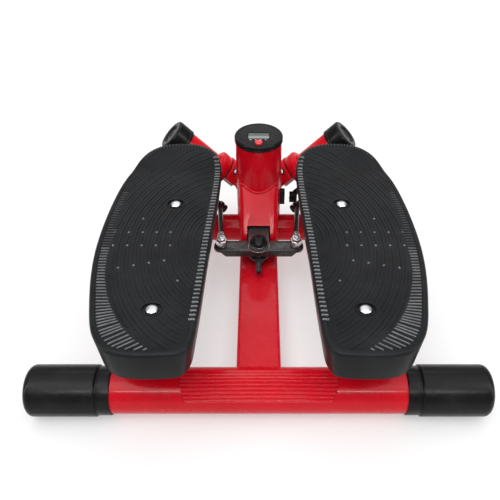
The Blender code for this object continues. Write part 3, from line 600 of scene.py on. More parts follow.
def base():
    for name, y, radius, half in (("rear_foot_tube", REAR_Y, REAR_TUBE_R, 0.236),
                                  ("front_foot_tube", FRONT_Y, FRONT_TUBE_R, 0.181)):
        piece = tube(name, radius, radius - TUBE_WALL, -half, half, "red_paint", along_x(y, FOOT_Z))
        fit(piece, "frame")
    half = BEAM_WIDTH / 2
    beam = block("base_beam", (-half, REAR_Y, BEAM_LOW), (half, FRONT_Y, BEAM_TOP), "red_paint",
                 bevel=0.0035, segments=6)
    inside = block("beam_inside", (-half + TUBE_WALL, REAR_Y - 0.05, BEAM_LOW + TUBE_WALL),
                   (half - TUBE_WALL, FRONT_Y + 0.05, BEAM_TOP - TUBE_WALL), bevel=0.0015)
    cut(beam, inside, tube_space(REAR_Y, REAR_TUBE_R + CLOSE), tube_space(FRONT_Y, FRONT_TUBE_R + CLOSE))
    rise = BEAM_TOP - FOOT_Z
    rear_edge = REAR_Y + math.sqrt(REAR_TUBE_R ** 2 - rise ** 2)
    low = FOOT_Z - BEAM_LOW
    rear_low = REAR_Y + math.sqrt(REAR_TUBE_R ** 2 - low ** 2)
    welds = [bead([(-0.0225, rear_edge, BEAM_TOP), (0.0225, rear_edge, BEAM_TOP)], 0.0021)]
    for side in (-1, 1):
        path = []
        for i in range(13):
            z = BEAM_TOP - 0.002 - (BEAM_TOP - BEAM_LOW - 0.004) * i / 12
            path.append((side * half, REAR_Y + math.sqrt(REAR_TUBE_R ** 2 - (z - FOOT_Z) ** 2), z))
        welds.append(bead(path, 0.0019, seed=side))
        path = [(x, FRONT_Y - math.sqrt(FRONT_TUBE_R ** 2 - (z - FOOT_Z) ** 2), z)
                for x, y, z in [(side * half, 0, p[2]) for p in path]]
        welds.append(bead(path, 0.0018, seed=side + 3))
    welds.append(bead([(-0.0225, rear_low, BEAM_LOW), (0.0225, rear_low, BEAM_LOW)], 0.0018, seed=9))
    merge(beam, *welds)
    fit(beam, "frame")


def column():
    post = tube("column_tube", COLUMN_R, COLUMN_R - 0.0025, BEAM_TOP + GAP, COLUMN_TOP, "red_paint",
                shift(0, COLUMN_Y, 0))
    cut(post, tube_space(FRONT_Y, FRONT_TUBE_R + CLOSE))
    fit(post, "frame")


def slope_height(y):
    (y1, z1), (y0, z0) = HOUSING_SLOPE
    return z0 + (min(y, y1) - y0) * (z1 - z0) / (y1 - y0)


def housing():
    """Folded steel box with a steep face, open below, welded to the column and the beam."""
    foot = BEAM_TOP + GAP
    top, low = HOUSING_SLOPE
    corners = [top, low, (0.0651, foot), (0.1250, foot), (0.1250, 0.1154)]
    shape = bmesh.new()
    loft(shape, [[(y, z, x) for y, z in corners] for x in (-HOUSING_HALF, HOUSING_HALF)])
    bmesh.ops.bevel(shape, geom=shape.edges[:], offset=0.0070, segments=8, profile=0.5, affect="EDGES")
    shell = settle("rocker_housing", shape, "red_paint", SIDE_PLANE)
    hollow = [(0.1160, 0.1140), (0.0690, 0.0604), (0.0690, 0.030), (0.140, 0.030), (0.140, 0.1140)]
    inside = plate("housing_inside", hollow, 0.040, matrix=SIDE_PLANE, edge=0)
    mouth = block("housing_mouth", (-MOUTH_HALF, 0.040, 0.030), (MOUTH_HALF, 0.0820, 0.0750), bevel=0.0012)
    cut(shell, inside, mouth, column_space(), tube_space(FRONT_Y, FRONT_TUBE_R))
    path = []
    for i in range(41):
        turn = math.radians(-59 + 118 * i / 40)
        x, y = COLUMN_R * math.sin(turn), COLUMN_Y - COLUMN_R * math.cos(turn)
        path.append((x, y - 0.0002, slope_height(y) + 0.0002))
    welds = [bead(path, 0.0020)]
    for side in (-1, 1):
        path = [(side * HOUSING_HALF, 0.0700 + 0.046 * i / 10, BEAM_TOP) for i in range(11)]
        welds.append(bead(path, 0.0015, seed=5 + side))
    welds.append(bead([(0.0195, 0.0662, 0.0590), (0.0195, 0.0650, 0.0560)], 0.0014, seed=7))
    merge(shell, *welds)
    fit(shell, "frame")


# --- Inclined pivots ---
def pivot_hub(label, side):
    """Fixed hub, cut away below and in front, with its weld to the column."""
    around = axis_frame(side)
    stub = tube("pivot_stub_" + label, STUB_R, NECK_R + GAP, 0.018, STUB_END, "red_paint", around,
                ease=0.0008)
    low, high = sorted((side * 0.0002, -side * 0.2))
    other_half = block("other_half", (low, -0.3, -0.1), (high, 0.4, 0.3), bevel=0)
    near, far = sorted((side * HUB_OPENING, side * 0.1))
    opening = block("opening", (near, -0.1, 0.0), (far, 0.1, 0.1), bevel=0,
                    matrix=around @ Matrix.Rotation(-side * HUB_SLANT, 4, "Z"))
    cut(stub, column_space(), tube_space(FRONT_Y, FRONT_TUBE_R + CLOSE), other_half, opening)
    path = []
    for i in range(25):
        v = -0.0277 + 0.0245 * abs(i - 12) / 12
        u = math.sqrt(STUB_R ** 2 - v * v) * (1 if i > 12 else -1)
        x = side * math.sqrt(max(0, COLUMN_R ** 2 - (PIVOT_Y + v - COLUMN_Y) ** 2))
        along = side * x * math.sqrt(2) - side * u
        point = around @ Vector((u, v, along))
        slant = side * u * math.cos(HUB_SLANT) - v * math.sin(HUB_SLANT)
        if slant < HUB_OPENING:
            path.append(tuple(point))
    if len(path) > 2:
        merge(stub, bead(path, 0.0019, seed=side))
    fit(stub, "frame")


def pivot_shaft(label, side):
    """Ground shaft in the hub, with the washer and bolt in its end."""
    around = axis_frame(side)
    shoulder = STUB_END + GAP
    profile = [(0, 0.1500), (0.0104, 0.1500), (SHAFT_R, 0.1486), (SHAFT_R, shoulder), (NECK_R, shoulder),
               (NECK_R, 0.0520), (0, 0.0520)]
    fit(lathe("pivot_shaft_" + label, profile, "shaft_steel", around), "frame")
    washer = tube("shaft_retainer_" + label, 0.0165, 0.0035, 0.1513, 0.1537, "zinc_steel", around)
    head = plate("bolt_head", hexagon(0.0072), 0.0046, matrix=around @ shift(0, 0, 0.1561))
    merge(washer, head)
    fit(washer, "frame")


def hub_screw(label, side):
    """Small screw on a seat, on the side of the hub that faces rearwards."""
    around = axis_frame(side)
    facing = Vector((-side * 0.606, -0.516, 0.606)).normalized()
    spot = shaft_frame(around @ Vector((0, 0, 0.0685)) + facing * STUB_R, facing)
    seat = tube("hub_seat_" + label, 0.0052, 0.0034, -0.0030, 0.0006, "black_steel", spot, SMALL)
    fit(seat, "frame")
    screw = lathe("hub_screw_" + label, [(0, 0.0024), (0.0022, 0.0023), (0.0033, 0.0014), (0.0033, -0.0030),
                                         (0, -0.0030)], "zinc_steel", spot, SMALL)
    socket(screw, 0.0014, 0.003, spot, 0.003)
    fit(screw, "frame")


def gusset(label, side):
    corners = [(0.0220, 0.0800), (0.0290, 0.0910), (0.0470, 0.1070), (0.0360, 0.1200), (0.0220, 0.1200)]
    outline = eased([(side * x, z) for x, z in corners], 0.0030, True, 4)
    piece = plate("stub_gusset_" + label, outline, 0.007, "red_paint", shift(0, 0.1385, 0) @ FRONT_PLANE,
                  edge=0.0009)
    cut(piece, column_space())
    foot = (side * 0.0302, 0.1350, 0.0925)
    tip = (side * 0.0302, 0.1350, 0.1170)
    merge(piece, bead([foot, tip], 0.0014, seed=4 + side))
    fit(piece, "frame")


# --- Display ---
def display():
    """Round head: domed bezel, window with a frame, button well, small printed marks."""
    centre = shift(0, COLUMN_Y, 0)
    top = DISPLAY_TOP
    shell = [(0, top - 0.0007), (0.0262, top - 0.0007), (0.0272, top - 0.0001), (0.0284, top)]
    shell += [(r, h) for r, h in arc((0.0284, top - 0.0029), 0.0029, 80, 0, 8)]
    shell += [(DISPLAY_R, COLUMN_TOP + 0.0036), (DISPLAY_R - 0.0005, COLUMN_TOP + 0.0032),
              (DISPLAY_R - 0.0005, COLUMN_TOP + 0.0024), (DISPLAY_R, COLUMN_TOP + 0.0020),
              (DISPLAY_R, COLUMN_TOP + GAP), (0.0272, COLUMN_TOP + GAP), (0.0272, 0.1500),
              (0.0262, 0.1500), (0.0262, top - 0.0035), (0, top - 0.0035)]
    head = lathe("display_housing", shell, "black_plastic", centre, ease=0.0002)
    half_w, half_d = LCD_HALF

    def window():
        return block("window", (-half_w, LCD_Y - half_d, top - 0.01), (half_w, LCD_Y + half_d, top + 0.01),
                     bevel=0)

    cut(head, window(), hole(shift(0, BUTTON_Y, 0), top - 0.01, top + 0.01, BUTTON_R + GAP))
    border = plate("lcd_frame", oblong(half_w + 0.0011, half_d + 0.0011, 0.0015), 0.0008, None,
                   shift(0, LCD_Y, top - 0.0006), edge=0.0002)
    cut(border, window())
    lip = tube("button_lip", BUTTON_R + 0.0013, BUTTON_R + GAP, top - 0.0010, top - 0.0002,
               matrix=shift(0, BUTTON_Y, 0), segments=SMALL, ease=0.0003)
    merge(head, border, lip)
    fit(head, "frame")
    lens = block("display_lens", (-half_w + 0.0001, LCD_Y - half_d + 0.0001, top - 0.0032),
                 (half_w - 0.0001, LCD_Y + half_d - 0.0001, top - 0.0008), "lens_grey", bevel=0.0003)
    fit(lens, "frame")
    marks = []
    for i, x in enumerate((-0.0102, -0.0040, 0.0022, 0.0088)):
        width = 0.0011 if i % 2 else 0.0016
        marks.append(plate("display_marks", oblong(width, 0.00045, 0.0004), 0.0003, "print_white",
                           shift(x, LCD_Y - half_d - 0.0024, top - 0.0006), edge=0.0001))
    merge(*marks)
    fit(marks[0], "frame", "black_plastic")
    press = [(0, 0.17995), (0.0018, 0.1800), (0.0034, 0.18035), (0.0041, 0.1805), (BUTTON_R, 0.1797),
             (BUTTON_R, 0.1742), (0.0058, 0.1742), (0.0058, 0.1727), (0, 0.1727)]
    button = lathe("reset_button", press, "button_red", shift(0, BUTTON_Y, 0), SMALL)
    fit(button, "button")


def sensor():
    body = block("step_sensor", (0.0255, 0.1300, 0.0700), (0.0360, 0.1385, 0.0920), "black_plastic",
                 bevel=0.0008)
    slots = [block("slot", (0.0355, 0.1290, z), (0.0370, 0.1345, z + 0.0010), bevel=0)
             for z in (0.0740, 0.0770, 0.0800, 0.0830, 0.0860)]
    cut(body, column_space(), *slots)
    fit(body, "frame")


# --- Rocker ---
def bar_outline(half_length, half_depth, corner, steps=8):
    points = []
    for quarter, (sx, sy) in enumerate(((1, 1), (-1, 1), (-1, -1), (1, -1))):
        centre = (sx * (half_length - corner), sy * (half_depth - corner))
        points += arc(centre, corner, 90 * quarter, 90 * quarter + 90, steps)
    return points


def rocker_bar():
    around = shift(0, ROCKER_Y, 0)
    top = ROCKER_TOP
    bar = plate("rocker_bar", bar_outline(0.058, 0.0100, 0.0085), 0.011, "black_steel",
                around @ shift(0, 0, top - 0.0055), edge=0.0011)
    channel = block("channel", (-0.07, -0.0073, top - 0.02), (0.07, 0.0073, top - 0.003), bevel=0.001,
                    matrix=around)
    ends = []
    for side in (-1, 1):
        wedge = [(side * 0.0410, top - 0.012), (side * 0.075, top - 0.012), (side * 0.075, top - 0.0035),
                 (side * 0.0490, top - 0.0035)]
        ends.append(plate("bar_end", wedge, 0.05, matrix=around @ FRONT_PLANE, edge=0))
    studs = [hole(shift(x, STUD_Y, 0), 0.04, 0.09, 0.0037) for x in (-STUD_X, STUD_X)]
    cut(bar, channel, *ends, hole(around, 0.04, 0.09, 0.0054), *studs)
    fit(bar, "rocker")


def rocker_stud(label, side):
    spot = shift(side * STUD_X, STUD_Y, 0)
    profile = [(0, 0.0805), (0.0046, 0.0805), (0.0052, 0.0799), (0.0052, 0.0780), (0.0036, 0.0778),
               (0.0035, 0.0684), (0.0060, 0.0683), (0.0060, 0.0671), (0.0035, 0.0669)]
    profile += threads(0.0035, 0.0590, 0.0664, 0.0011, 0.0004) + [(0, 0.0588)]
    stud = lathe("rocker_stud_" + label, profile, "zinc_steel", spot, SMALL, ease=0.0002)
    socket(stud, 0.0028, 0.006, spot, 0.0812)
    nut = plate("nut", hexagon(0.0060, 0.3), 0.0044, matrix=spot @ shift(0, 0, 0.0613))
    merge(stud, nut)
    fit(stud, "rocker")


def rocker_fork():
    """Fixed bracket: plate above the bar, tongue below it, web, ribs and threaded tip."""
    around = shift(0, ROCKER_Y, 0)
    around_top = around @ shift(0, 0, 0.0693)
    upper = arc((0, 0), FORK_R, 180, 360, 40) + [(FORK_R, 0.0450), (-FORK_R, 0.0450)]
    fork = plate("rocker_fork", upper, FORK_PLATE, "black_steel", around_top, edge=0.0006)
    right_edge = [(0.0032, -0.0125), (0.0047, -0.0120), (0.0060, -0.0095), (0.0095, -0.0070),
                  (0.0125, -0.0035), (FORK_R, 0.0010), (FORK_R, 0.0180)]
    outline = eased(right_edge + [(-x, y) for x, y in reversed(right_edge)], 0.0015, True, 3)
    lower = plate("tongue", outline, FORK_PLATE, None, around @ shift(0, 0, 0.0495), edge=0.0006)
    web = block("web", (-FORK_R, 0.0605, 0.0478), (FORK_R, 0.0640, 0.0705), bevel=0.0008)
    ribs = [block("rib", (x - 0.0008, 0.0560, 0.0510), (x + 0.0008, 0.0610, 0.0640), bevel=0.0004)
            for x in (-0.0110, 0.0110)]
    tip_start = Vector((0, ROCKER_Y - 0.0080, 0.0492))
    tip_end = Vector((0, ROCKER_Y - 0.0290, 0.0462))
    reach = (tip_end - tip_start).length
    profile = [(0, reach), (0.0028, reach), (0.0036, reach - 0.0008)]
    profile += threads(0.0036, 0.0050, reach - 0.0010, 0.0016, 0.0006)
    profile += [(0.0045, 0.0045), (0.0045, 0), (0, 0)]
    tip = lathe("tip", profile, None, shaft_frame(tip_start, tip_end - tip_start), SMALL, ease=0.0002)
    for piece in (fork, lower):
        cut(piece, hole(around, 0.03, 0.09, 0.0053))
    merge(fork, lower, web, tip, *ribs)
    fit(fork, "frame")


def rocker_fasteners():
    """The bolt that the rocker turns on, with its washer, nut and dome cap."""
    around = shift(0, ROCKER_Y, 0)
    profile = [(0, 0.0768), (0.0070, 0.0768), (0.0075, 0.0762), (0.0075, 0.0722), (0.0112, 0.0721),
               (0.0112, 0.0714), (0.0050, 0.0713), (0.0050, 0.0475)]
    profile += threads(0.0050, 0.0388, 0.0470, 0.0012, 0.0005) + [(0, 0.0385)]
    bolt = lathe("rocker_bolt", profile, "zinc_steel", around, SMALL, ease=0.0002)
    fit(bolt, "frame")
    # The washer is real, but it is made wider than the fork plate so that its thin zinc rim shows as a
    # bright line round the fork's edge: partly painted highlight.
    washer = tube("rocker_washer", 0.0140, 0.0056, 0.06705, 0.06750, "zinc_steel", around, SMALL + 24,
                  ease=0.0001)
    fit(washer, "frame")
    nut = plate("rocker_nut", hexagon(0.0090, 0.2), 0.0059, "black_steel",
                around @ shift(0, 0, 0.04445), edge=0.0007)
    cut(nut, hole(around, 0.03, 0.09, 0.0051))
    fit(nut, "frame")
    outer, inner = dome(0.0115, 0.0725, 0.0085, 84, 0, 12), dome(0.0095, 0.0725, 0.0070, 0, 84, 12)
    fit(lathe("rocker_bolt_cap", [(0, 0.0810)] + outer + inner + [(0, 0.0795)], "black_plastic", around,
              SMALL + 8, ease=0), "frame")


def lever_point(side, axial, outward, y):
    return axis_frame(side) @ Vector((side * outward, y, axial))


def link_rod(label, side):
    """Rod with an eye at each end, a jam nut and a short thread."""
    start = Vector((side * STUD_X, STUD_Y, ROD_END_Z))
    end = lever_point(side, LINK_AXIAL, LINK_OUT, LINK_Y)
    aim = (end - start).normalized()
    length = (end - start).length
    name = "link_rod_" + label
    eye = [(0.0066, 0.0038), (0.0074, 0.0026), (0.0076, 0), (0.0074, -0.0026), (0.0066, -0.0038),
           (0.0043, -0.0038), (0.0043, 0.0038)]
    near = lathe("link_eye_" + label, eye, "zinc_steel", Matrix.Translation(start), SMALL, closed=True)
    fit(near, "link_" + label)
    turn = axis_frame(side).to_3x3().to_4x4()
    far = tube(name, 0.0072, 0.0045, -0.0025, 0.0025, "black_steel", Matrix.Translation(end) @ turn, SMALL)
    shank = [(0, length - 0.0052), (0.0030, length - 0.0052), (0.0035, length - 0.0065), (0.0035, 0.0185)]
    shank += threads(0.0034, 0.0075, 0.0125, 0.0010, 0.0004) + [(0.0040, 0.0070), (0, 0.0060)]
    body = lathe("shank", shank, None, shaft_frame(start, aim), SMALL, ease=0.0002)
    merge(far, body)
    fit(far, "link_" + label)
    nut = plate("link_nut_" + label, hexagon(0.0056), 0.0050, "zinc_steel",
                shaft_frame(start + aim * 0.0152, aim))
    fit(nut, "link_" + label)


# --- Pedals ---
def outline_curve(points, per_span):
    """Closed centripetal Catmull-Rom curve through the points."""
    def mix(a, b, start, end):
        return a.lerp(b, (t - start) / (end - start))

    out = []
    count = len(points)
    for i in range(count):
        p = [Vector(points[(i + k - 1) % count]) for k in range(4)]
        knots = [0.0]
        for a, b in zip(p, p[1:]):
            knots.append(knots[-1] + math.sqrt((b - a).length))
        for step in range(per_span):
            t = knots[1] + (knots[2] - knots[1]) * step / per_span
            sides = [mix(p[j], p[j + 1], knots[j], knots[j + 1]) for j in range(3)]
            pairs = [mix(sides[j], sides[j + 1], knots[j], knots[j + 2]) for j in range(2)]
            out.append(mix(*pairs, knots[1], knots[2]).to_tuple())
    return out


def even_outline(spacing):
    """The pedal's outline with its points evenly spaced, heel at the rear of the object."""
    curve = [Vector(p) for p in outline_curve(PEDAL_OUTLINE, 24)]
    heel = min(p.y for p in curve)
    curve = [p + Vector((0, -LENGTH / 2 - heel)) for p in curve]
    total = sum((b - a).length for a, b in zip(curve, curve[1:] + curve[:1]))
    count = round(total / spacing)
    out, travelled, target = [], 0.0, 0.0
    for a, b in zip(curve, curve[1:] + curve[:1]):
        step = (b - a).length
        while target < travelled + step - 1e-9 and len(out) < count:
            out.append(tuple(a.lerp(b, (target - travelled) / step)))
            target += total / count
        travelled += step
    return out


def toe_height(y):
    t = min(max((y - TOE_START) / (TOE_END - TOE_START), 0), 1)
    return TOE_RISE * t * t * (3 - 2 * t)


def tread_height(y):
    return PEDAL_TOP - TREAD_SINK + toe_height(y)


def inside_of(outline, x, y):
    found = False
    for (x1, y1), (x2, y2) in zip(outline, outline[1:] + outline[:1]):
        if (y1 > y) != (y2 > y) and x < x1 + (y - y1) / (y2 - y1) * (x2 - x1):
            found = not found
    return found


def arm_place(side):
    front, rear = (mirrored((*PEDAL_BOLTS[end], 0), side) for end in ("front", "rear"))
    aim = front - rear
    return Matrix.Translation(front) @ Matrix.Rotation(math.atan2(-aim.x, aim.y), 4, "Z")


def bolt_place(end, side):
    return Matrix.Translation(mirrored((*PEDAL_BOLTS[end], 0), side))


def pedal_shell(outline):
    """Left pedal: rounded rim, sunk tread, drafted walls, open underneath with ribs across."""
    def drafted(points, z):
        return [(PEDAL_CENTRE[0] + (x - PEDAL_CENTRE[0]) * PEDAL_DRAFT[0],
                 PEDAL_CENTRE[1] + (y - PEDAL_CENTRE[1]) * PEDAL_DRAFT[1], z) for x, y in points]

    low = PEDAL_TOP - PEDAL_WALL
    rings = [[(x, y, PEDAL_TOP - PEDAL_SKIN) for x, y in inset(outline, 0.0064)],
             [(x, y, PEDAL_TOP - PEDAL_SKIN - 0.0030) for x, y in inset(outline, 0.0038)],
             drafted(inset(outline, PEDAL_SKIN), low), drafted(inset(outline, 0.0004), low),
             drafted(outline, low + 0.0004)]
    rim = [(0.0, 0.0044), (0.0002, 0.0031), (0.0008, 0.0019), (0.0017, 0.0009), (0.0028, 0.0003),
           (0.0040, 0.0), (0.0052, 0.0), (0.0056, 0.0002), (0.0059, 0.0008), (0.0062, TREAD_SINK)]
    rings += [[(x, y, PEDAL_TOP - drop) for x, y in inset(outline, d)] for d, drop in rim]
    shape = bmesh.new()
    loft(shape, rings)
    y = -0.19
    while y < 0.140:
        everything = shape.verts[:] + shape.edges[:] + shape.faces[:]
        bmesh.ops.bisect_plane(shape, geom=everything, plane_co=(0, y, 0), plane_no=(0, 1, 0))
        y += 0.0023 if y > TOE_START - 0.003 else 0.020
    bmesh.ops.remove_doubles(shape, verts=shape.verts, dist=0.00008)
    for vert in shape.verts:
        if vert.co.z > PEDAL_TOP - PEDAL_WALL / 2:
            vert.co.z += toe_height(vert.co.y)
    shell = settle("pedal_left", shape, "pedal_plastic")
    tools = [block("arm_notch", (-ARM_HALF - 0.001, 0.0900, 0.1000), (ARM_HALF + 0.001, 0.1500,
                                                                    ARM_TOP + 0.0005),
                   matrix=arm_place(-1), bevel=0)]
    for end in PEDAL_BOLTS:
        spot = bolt_place(end, -1)
        tools.append(plate("recess", bar_outline(0.0096, 0.0074, 0.0072), 0.004, edge=0,
                           matrix=spot @ shift(0, 0, PEDAL_TOP - 0.0003)))
        tools.append(hole(spot, 0.11, 0.17, BOLT_HOLE_R))
    cut(shell, *tools)
    for end in PEDAL_BOLTS:
        spot = bolt_place(end, -1)
        oval = bar_outline(0.0106, 0.0084, 0.0082)
        lip = plate("lip", oval, 0.0014, None, spot @ shift(0, 0, PEDAL_TOP - 0.0008),
                    edge=0.0006)
        cut(lip, plate("lip_hole", bar_outline(0.0096, 0.0074, 0.0072), 0.006, edge=0,
                       matrix=spot @ shift(0, 0, PEDAL_TOP)))
        seat = tube("seat", 0.0066, BOLT_HOLE_R, PEDAL_TOP - 0.0030, PEDAL_TOP - 0.0015, None, spot, SMALL)
        merge(shell, lip, seat)
    inner = inset(outline, 0.0030)
    ribs = []
    for y in [-0.165 + 0.027 * i for i in range(10)]:
        if any(abs(y - PEDAL_BOLTS[end][1]) < 0.008 for end in PEDAL_BOLTS):
            continue
        crossings = sorted(x1 + (y - y1) / (y2 - y1) * (x2 - x1)
                           for (x1, y1), (x2, y2) in zip(inner, inner[1:] + inner[:1])
                           if (y1 > y) != (y2 > y))
        along = (y - PEDAL_BOLTS["rear"][1]) / (PEDAL_BOLTS["front"][1] - PEDAL_BOLTS["rear"][1])
        middle = PEDAL_BOLTS["rear"][0] + along * (PEDAL_BOLTS["front"][0] - PEDAL_BOLTS["rear"][0])
        for low_x, high_x in ((crossings[0] + 0.0015, middle - ARM_HALF - 0.002),
                              (middle + ARM_HALF + 0.002, crossings[-1] - 0.0015)):
            ribs.append(block("rib", (low_x, y - 0.0009, PEDAL_TOP - 0.0130),
                              (high_x, y + 0.0009, PEDAL_TOP - 0.0032), bevel=0.0003, segments=1))
    return merge(shell, *ribs)


def ridge(shape, path, low_half, high_half, height, sunk=0.0004, round_end=False, base=0.0):
    """Raised strip with sloping sides on the tread, along a path of (x, y) points."""
    rings = []
    count = len(path)
    for i, (x, y) in enumerate(path):
        way = (Vector(path[min(i + 1, count - 1)]) - Vector(path[max(i - 1, 0)])).normalized()
        side = Vector((-way.y, way.x))
        taper = 0.45 if round_end and i in (0, count - 1) else 1.0
        z = tread_height(y) + base
        low, high = side * low_half * taper, side * high_half * taper
        rise = height * (0.35 if i in (0, count - 1) else 1.0)
        rings.append([(x - low.x, y - low.y, z - sunk), (x - high.x, y - high.y, z + rise),
                      (x + high.x, y + high.y, z + rise), (x + low.x, y + low.y, z - sunk)])
    loft(shape, rings)


def tread(outline):
    """Grooves, edge teeth, fan of ticks and nubs of the left tread, each as one object; the teeth, ticks
    and nubs are coloured with painted highlight.
    """
    def fan_distance(x, y):
        return math.hypot((x - FAN_CENTRE[0]) / FAN_AXES[0], (y - FAN_CENTRE[1]) / FAN_AXES[1])

    def nub_points():
        for x, y, count, drop in NUB_ROWS:
            for i in range(count):
                yield x - NUB_PITCH * i, y + drop * i

    nubs = [p for p in nub_points() if inside_of(inset(outline, 0.012), *p)]
    field = inset(outline, FIELD_MARGIN)
    ticked_field = [(x + (TICK_MARGIN if x < PEDAL_CENTRE[0] else 0), y) for x, y in field]

    def open_tread(x, y):
        if not inside_of(field, x, y) or y < FAN_TOP and fan_distance(x, y) > 0.97:
            return False
        if y < TICKS_TOP + 0.002 and not inside_of(ticked_field, x, y):
            return False
        if x > inner_edge(y) - TOOTH_MARGIN and y < TOE_TICKS_START:
            return False
        for bx, by in PEDAL_BOLTS.values():
            if math.hypot((x - bx) / BOLT_CLEAR[0], (y - by) / BOLT_CLEAR[1]) < 1:
                return False
        return all(math.hypot(x - nx, y - ny) > NUB_CLEAR for nx, ny in nubs)

    def inner_edge(y):
        (x1, y1), (x2, y2) = min(zip(outline, outline[1:]),
                                 key=lambda s: abs(s[0][1] - y) + (10 if s[0][0] < PEDAL_CENTRE[0] else 0))
        return (x1 + x2) / 2

    grooves = bmesh.new()
    for k in range(5, 46):
        axis = GROOVE_PITCH * k
        strong = k % 2 == 0
        steps = max(60, int(axis * 2400))
        run = []
        for i in range(steps + 1):
            turn = 2 * math.pi * i / steps
            x = GROOVE_CENTRE[0] + axis * math.cos(turn)
            y = GROOVE_CENTRE[1] + axis * GROOVE_RATIO * math.sin(turn)
            if i < steps and open_tread(x, y):
                run.append((x, y))
                continue
            if len(run) > 3:
                ridge(grooves, run, 0.0013 if strong else 0.0010, 0.0006 if strong else 0.0004,
                      0.0009 if strong else 0.0005)
            run = []
    pattern = [settle("tread_grooves_left", grooves, "pedal_plastic", angle=20)]

    on_rim = {"sunk": 0.0016, "round_end": True, "base": TREAD_SINK}
    teeth, toe = bmesh.new(), bmesh.new()
    for i in range(TEETH):
        y = TEETH_START - TOOTH_PITCH * i
        x = inner_edge(y)
        path = [(x - d, y) for d in (0.0020, 0.0026, 0.0080, 0.0086)]
        ridge(teeth, path, 0.0013, 0.0009, 0.0003, **on_rim)
    # painted highlight: the teeth are pedal plastic coloured lighter
    pattern.append(settle("tread_teeth_left", teeth, "tread_bright", angle=30))

    # painted highlight on the ticks: strong near the heel, faint elsewhere
    weak_glint_ticks, strong_glint_ticks = bmesh.new(), bmesh.new()
    normals = [Vector(b) - Vector(a) for a, b in zip(outline, inset(outline, 0.001))]
    last = None
    for i, (x, y) in enumerate(outline):
        here = Vector((x, y)) + normals[i].normalized() * 0.0022
        if y < TOE_TICKS_START or x < -0.150 or last and (here - last).length < 0.0033:
            continue
        last = here
        tip = here + normals[i].normalized() * 0.0046
        ridge(toe, [tuple(here.lerp(tip, t)) for t in (0, 0.1, 0.9, 1)], 0.0008, 0.0005, 0.0003, **on_rim)
    # faint painted highlight on the toe ticks
    pattern.append(settle("tread_toe_left", toe, "tread_faint_highlight", angle=30))

    last = None
    for i in reversed(range(len(outline))):
        x, y = outline[i]
        if x > -0.098 or y > TICKS_TOP:
            continue
        turn = FAN_TURN * min(max((-0.130 - y) / 0.050, 0), 1)
        way = Vector((math.cos(turn), math.sin(turn)))
        start = Vector((x, y)) + normals[i].normalized() * 0.0068
        if last and abs((start - last).dot(Vector((-way.y, way.x)))) < FAN_PITCH:
            continue
        last = start
        reach = 0.0
        while y < FAN_TOP and reach < 0.030 and fan_distance(*(start + way * reach)) > 1.0:
            reach += 0.0005
        tip = start + way * max(reach, 0.0070 if y > -0.12 else 0.0)
        if (tip - start).length < 0.0025:
            continue
        path = [tuple(start.lerp(tip, t)) for t in (0, 0.06, 0.35, 0.65, 0.94, 1)]
        ridge(strong_glint_ticks if y < -0.050 else weak_glint_ticks, path, 0.0009, 0.0005, 0.0009, round_end=True)
    pattern.append(settle("tread_fan_left", strong_glint_ticks, "tread_bright", angle=30))
    pattern.append(settle("tread_ticks_left", weak_glint_ticks, "tread_faint_highlight", angle=30))

    domes = bmesh.new()
    for x, y in nubs:
        z = tread_height(y)
        rings = []
        for radius, rise in ((0.0013, -0.0003), (0.0013, 0.0003), (0.0011, 0.0006), (0.0007, 0.0009),
                             (0.0002, 0.0010)):
            rings.append([(x + radius * math.cos(math.pi * k / 8), y + radius * math.sin(math.pi * k / 8),
                           z + rise) for k in range(16)])
        loft(domes, rings)
    # painted highlight on the nubs
    pattern.append(settle("tread_nubs_left", domes, "tread_bright", angle=50))
    return pattern


def pedals():
    outline = even_outline(0.0022)
    left = [pedal_shell(outline)] + tread(outline)
    for piece in left:
        mesh = piece.data.copy()
        name = piece.name.replace("left", "right")
        mesh.name = name
        mesh.transform(Matrix.Scale(-1, 4, (1, 0, 0)))
        mesh.flip_normals()
        twin = bpy.data.objects.new(name, mesh)
        bpy.context.scene.collection.objects.link(twin)
        fit(piece, "arm_left", "pedal_plastic")
        fit(twin, "arm_right", "pedal_plastic")


# --- Pedal arms ---
def sleeve_and_lever(label, side):
    """Tube that turns on the inclined shaft, welded to the lug that moves the link rod."""
    body = "arm_" + label
    around = axis_frame(side)
    sleeve = tube("pivot_sleeve_" + label, SLEEVE_R, BUSH_R + CLOSE, LUG_END + CLOSE, SLEEVE_END,
                  "red_paint", around)
    turns = [around @ Vector((SLEEVE_R * math.cos(a), SLEEVE_R * math.sin(a), LUG_END + 0.0004))
             for a in [2 * math.pi * i / 72 for i in range(72)]]
    merge(sleeve, bead(turns, 0.0018, closed=True, seed=side))
    fit(sleeve, body)

    reach = math.hypot(LINK_OUT, LINK_Y)
    tangent = math.degrees(math.acos((LUG_R - LUG_EYE_R) / reach))
    big = arc((0, 0), LUG_R, tangent, 360 - tangent, 64)
    small = arc((reach, 0), LUG_EYE_R, -tangent, tangent, 16)
    thick = LUG_END - LUG_START
    spoke = around @ Matrix.Rotation(math.atan2(LINK_Y, side * LINK_OUT), 4, "Z")
    lug = plate("lever_lug_" + label, big + small, thick, "red_paint",
                spoke @ shift(0, 0, (LUG_START + LUG_END) / 2), edge=0.0010)
    pin_hole = rod("pin_hole", lever_point(side, 0.07, LINK_OUT, LINK_Y),
                   lever_point(side, 0.1, LINK_OUT, LINK_Y), PIN_R + 0.0002, ease=0)
    cut(lug, hole(around, 0.07, 0.1, BUSH_R + GAP, ROUND), pin_hole)
    fit(lug, body)


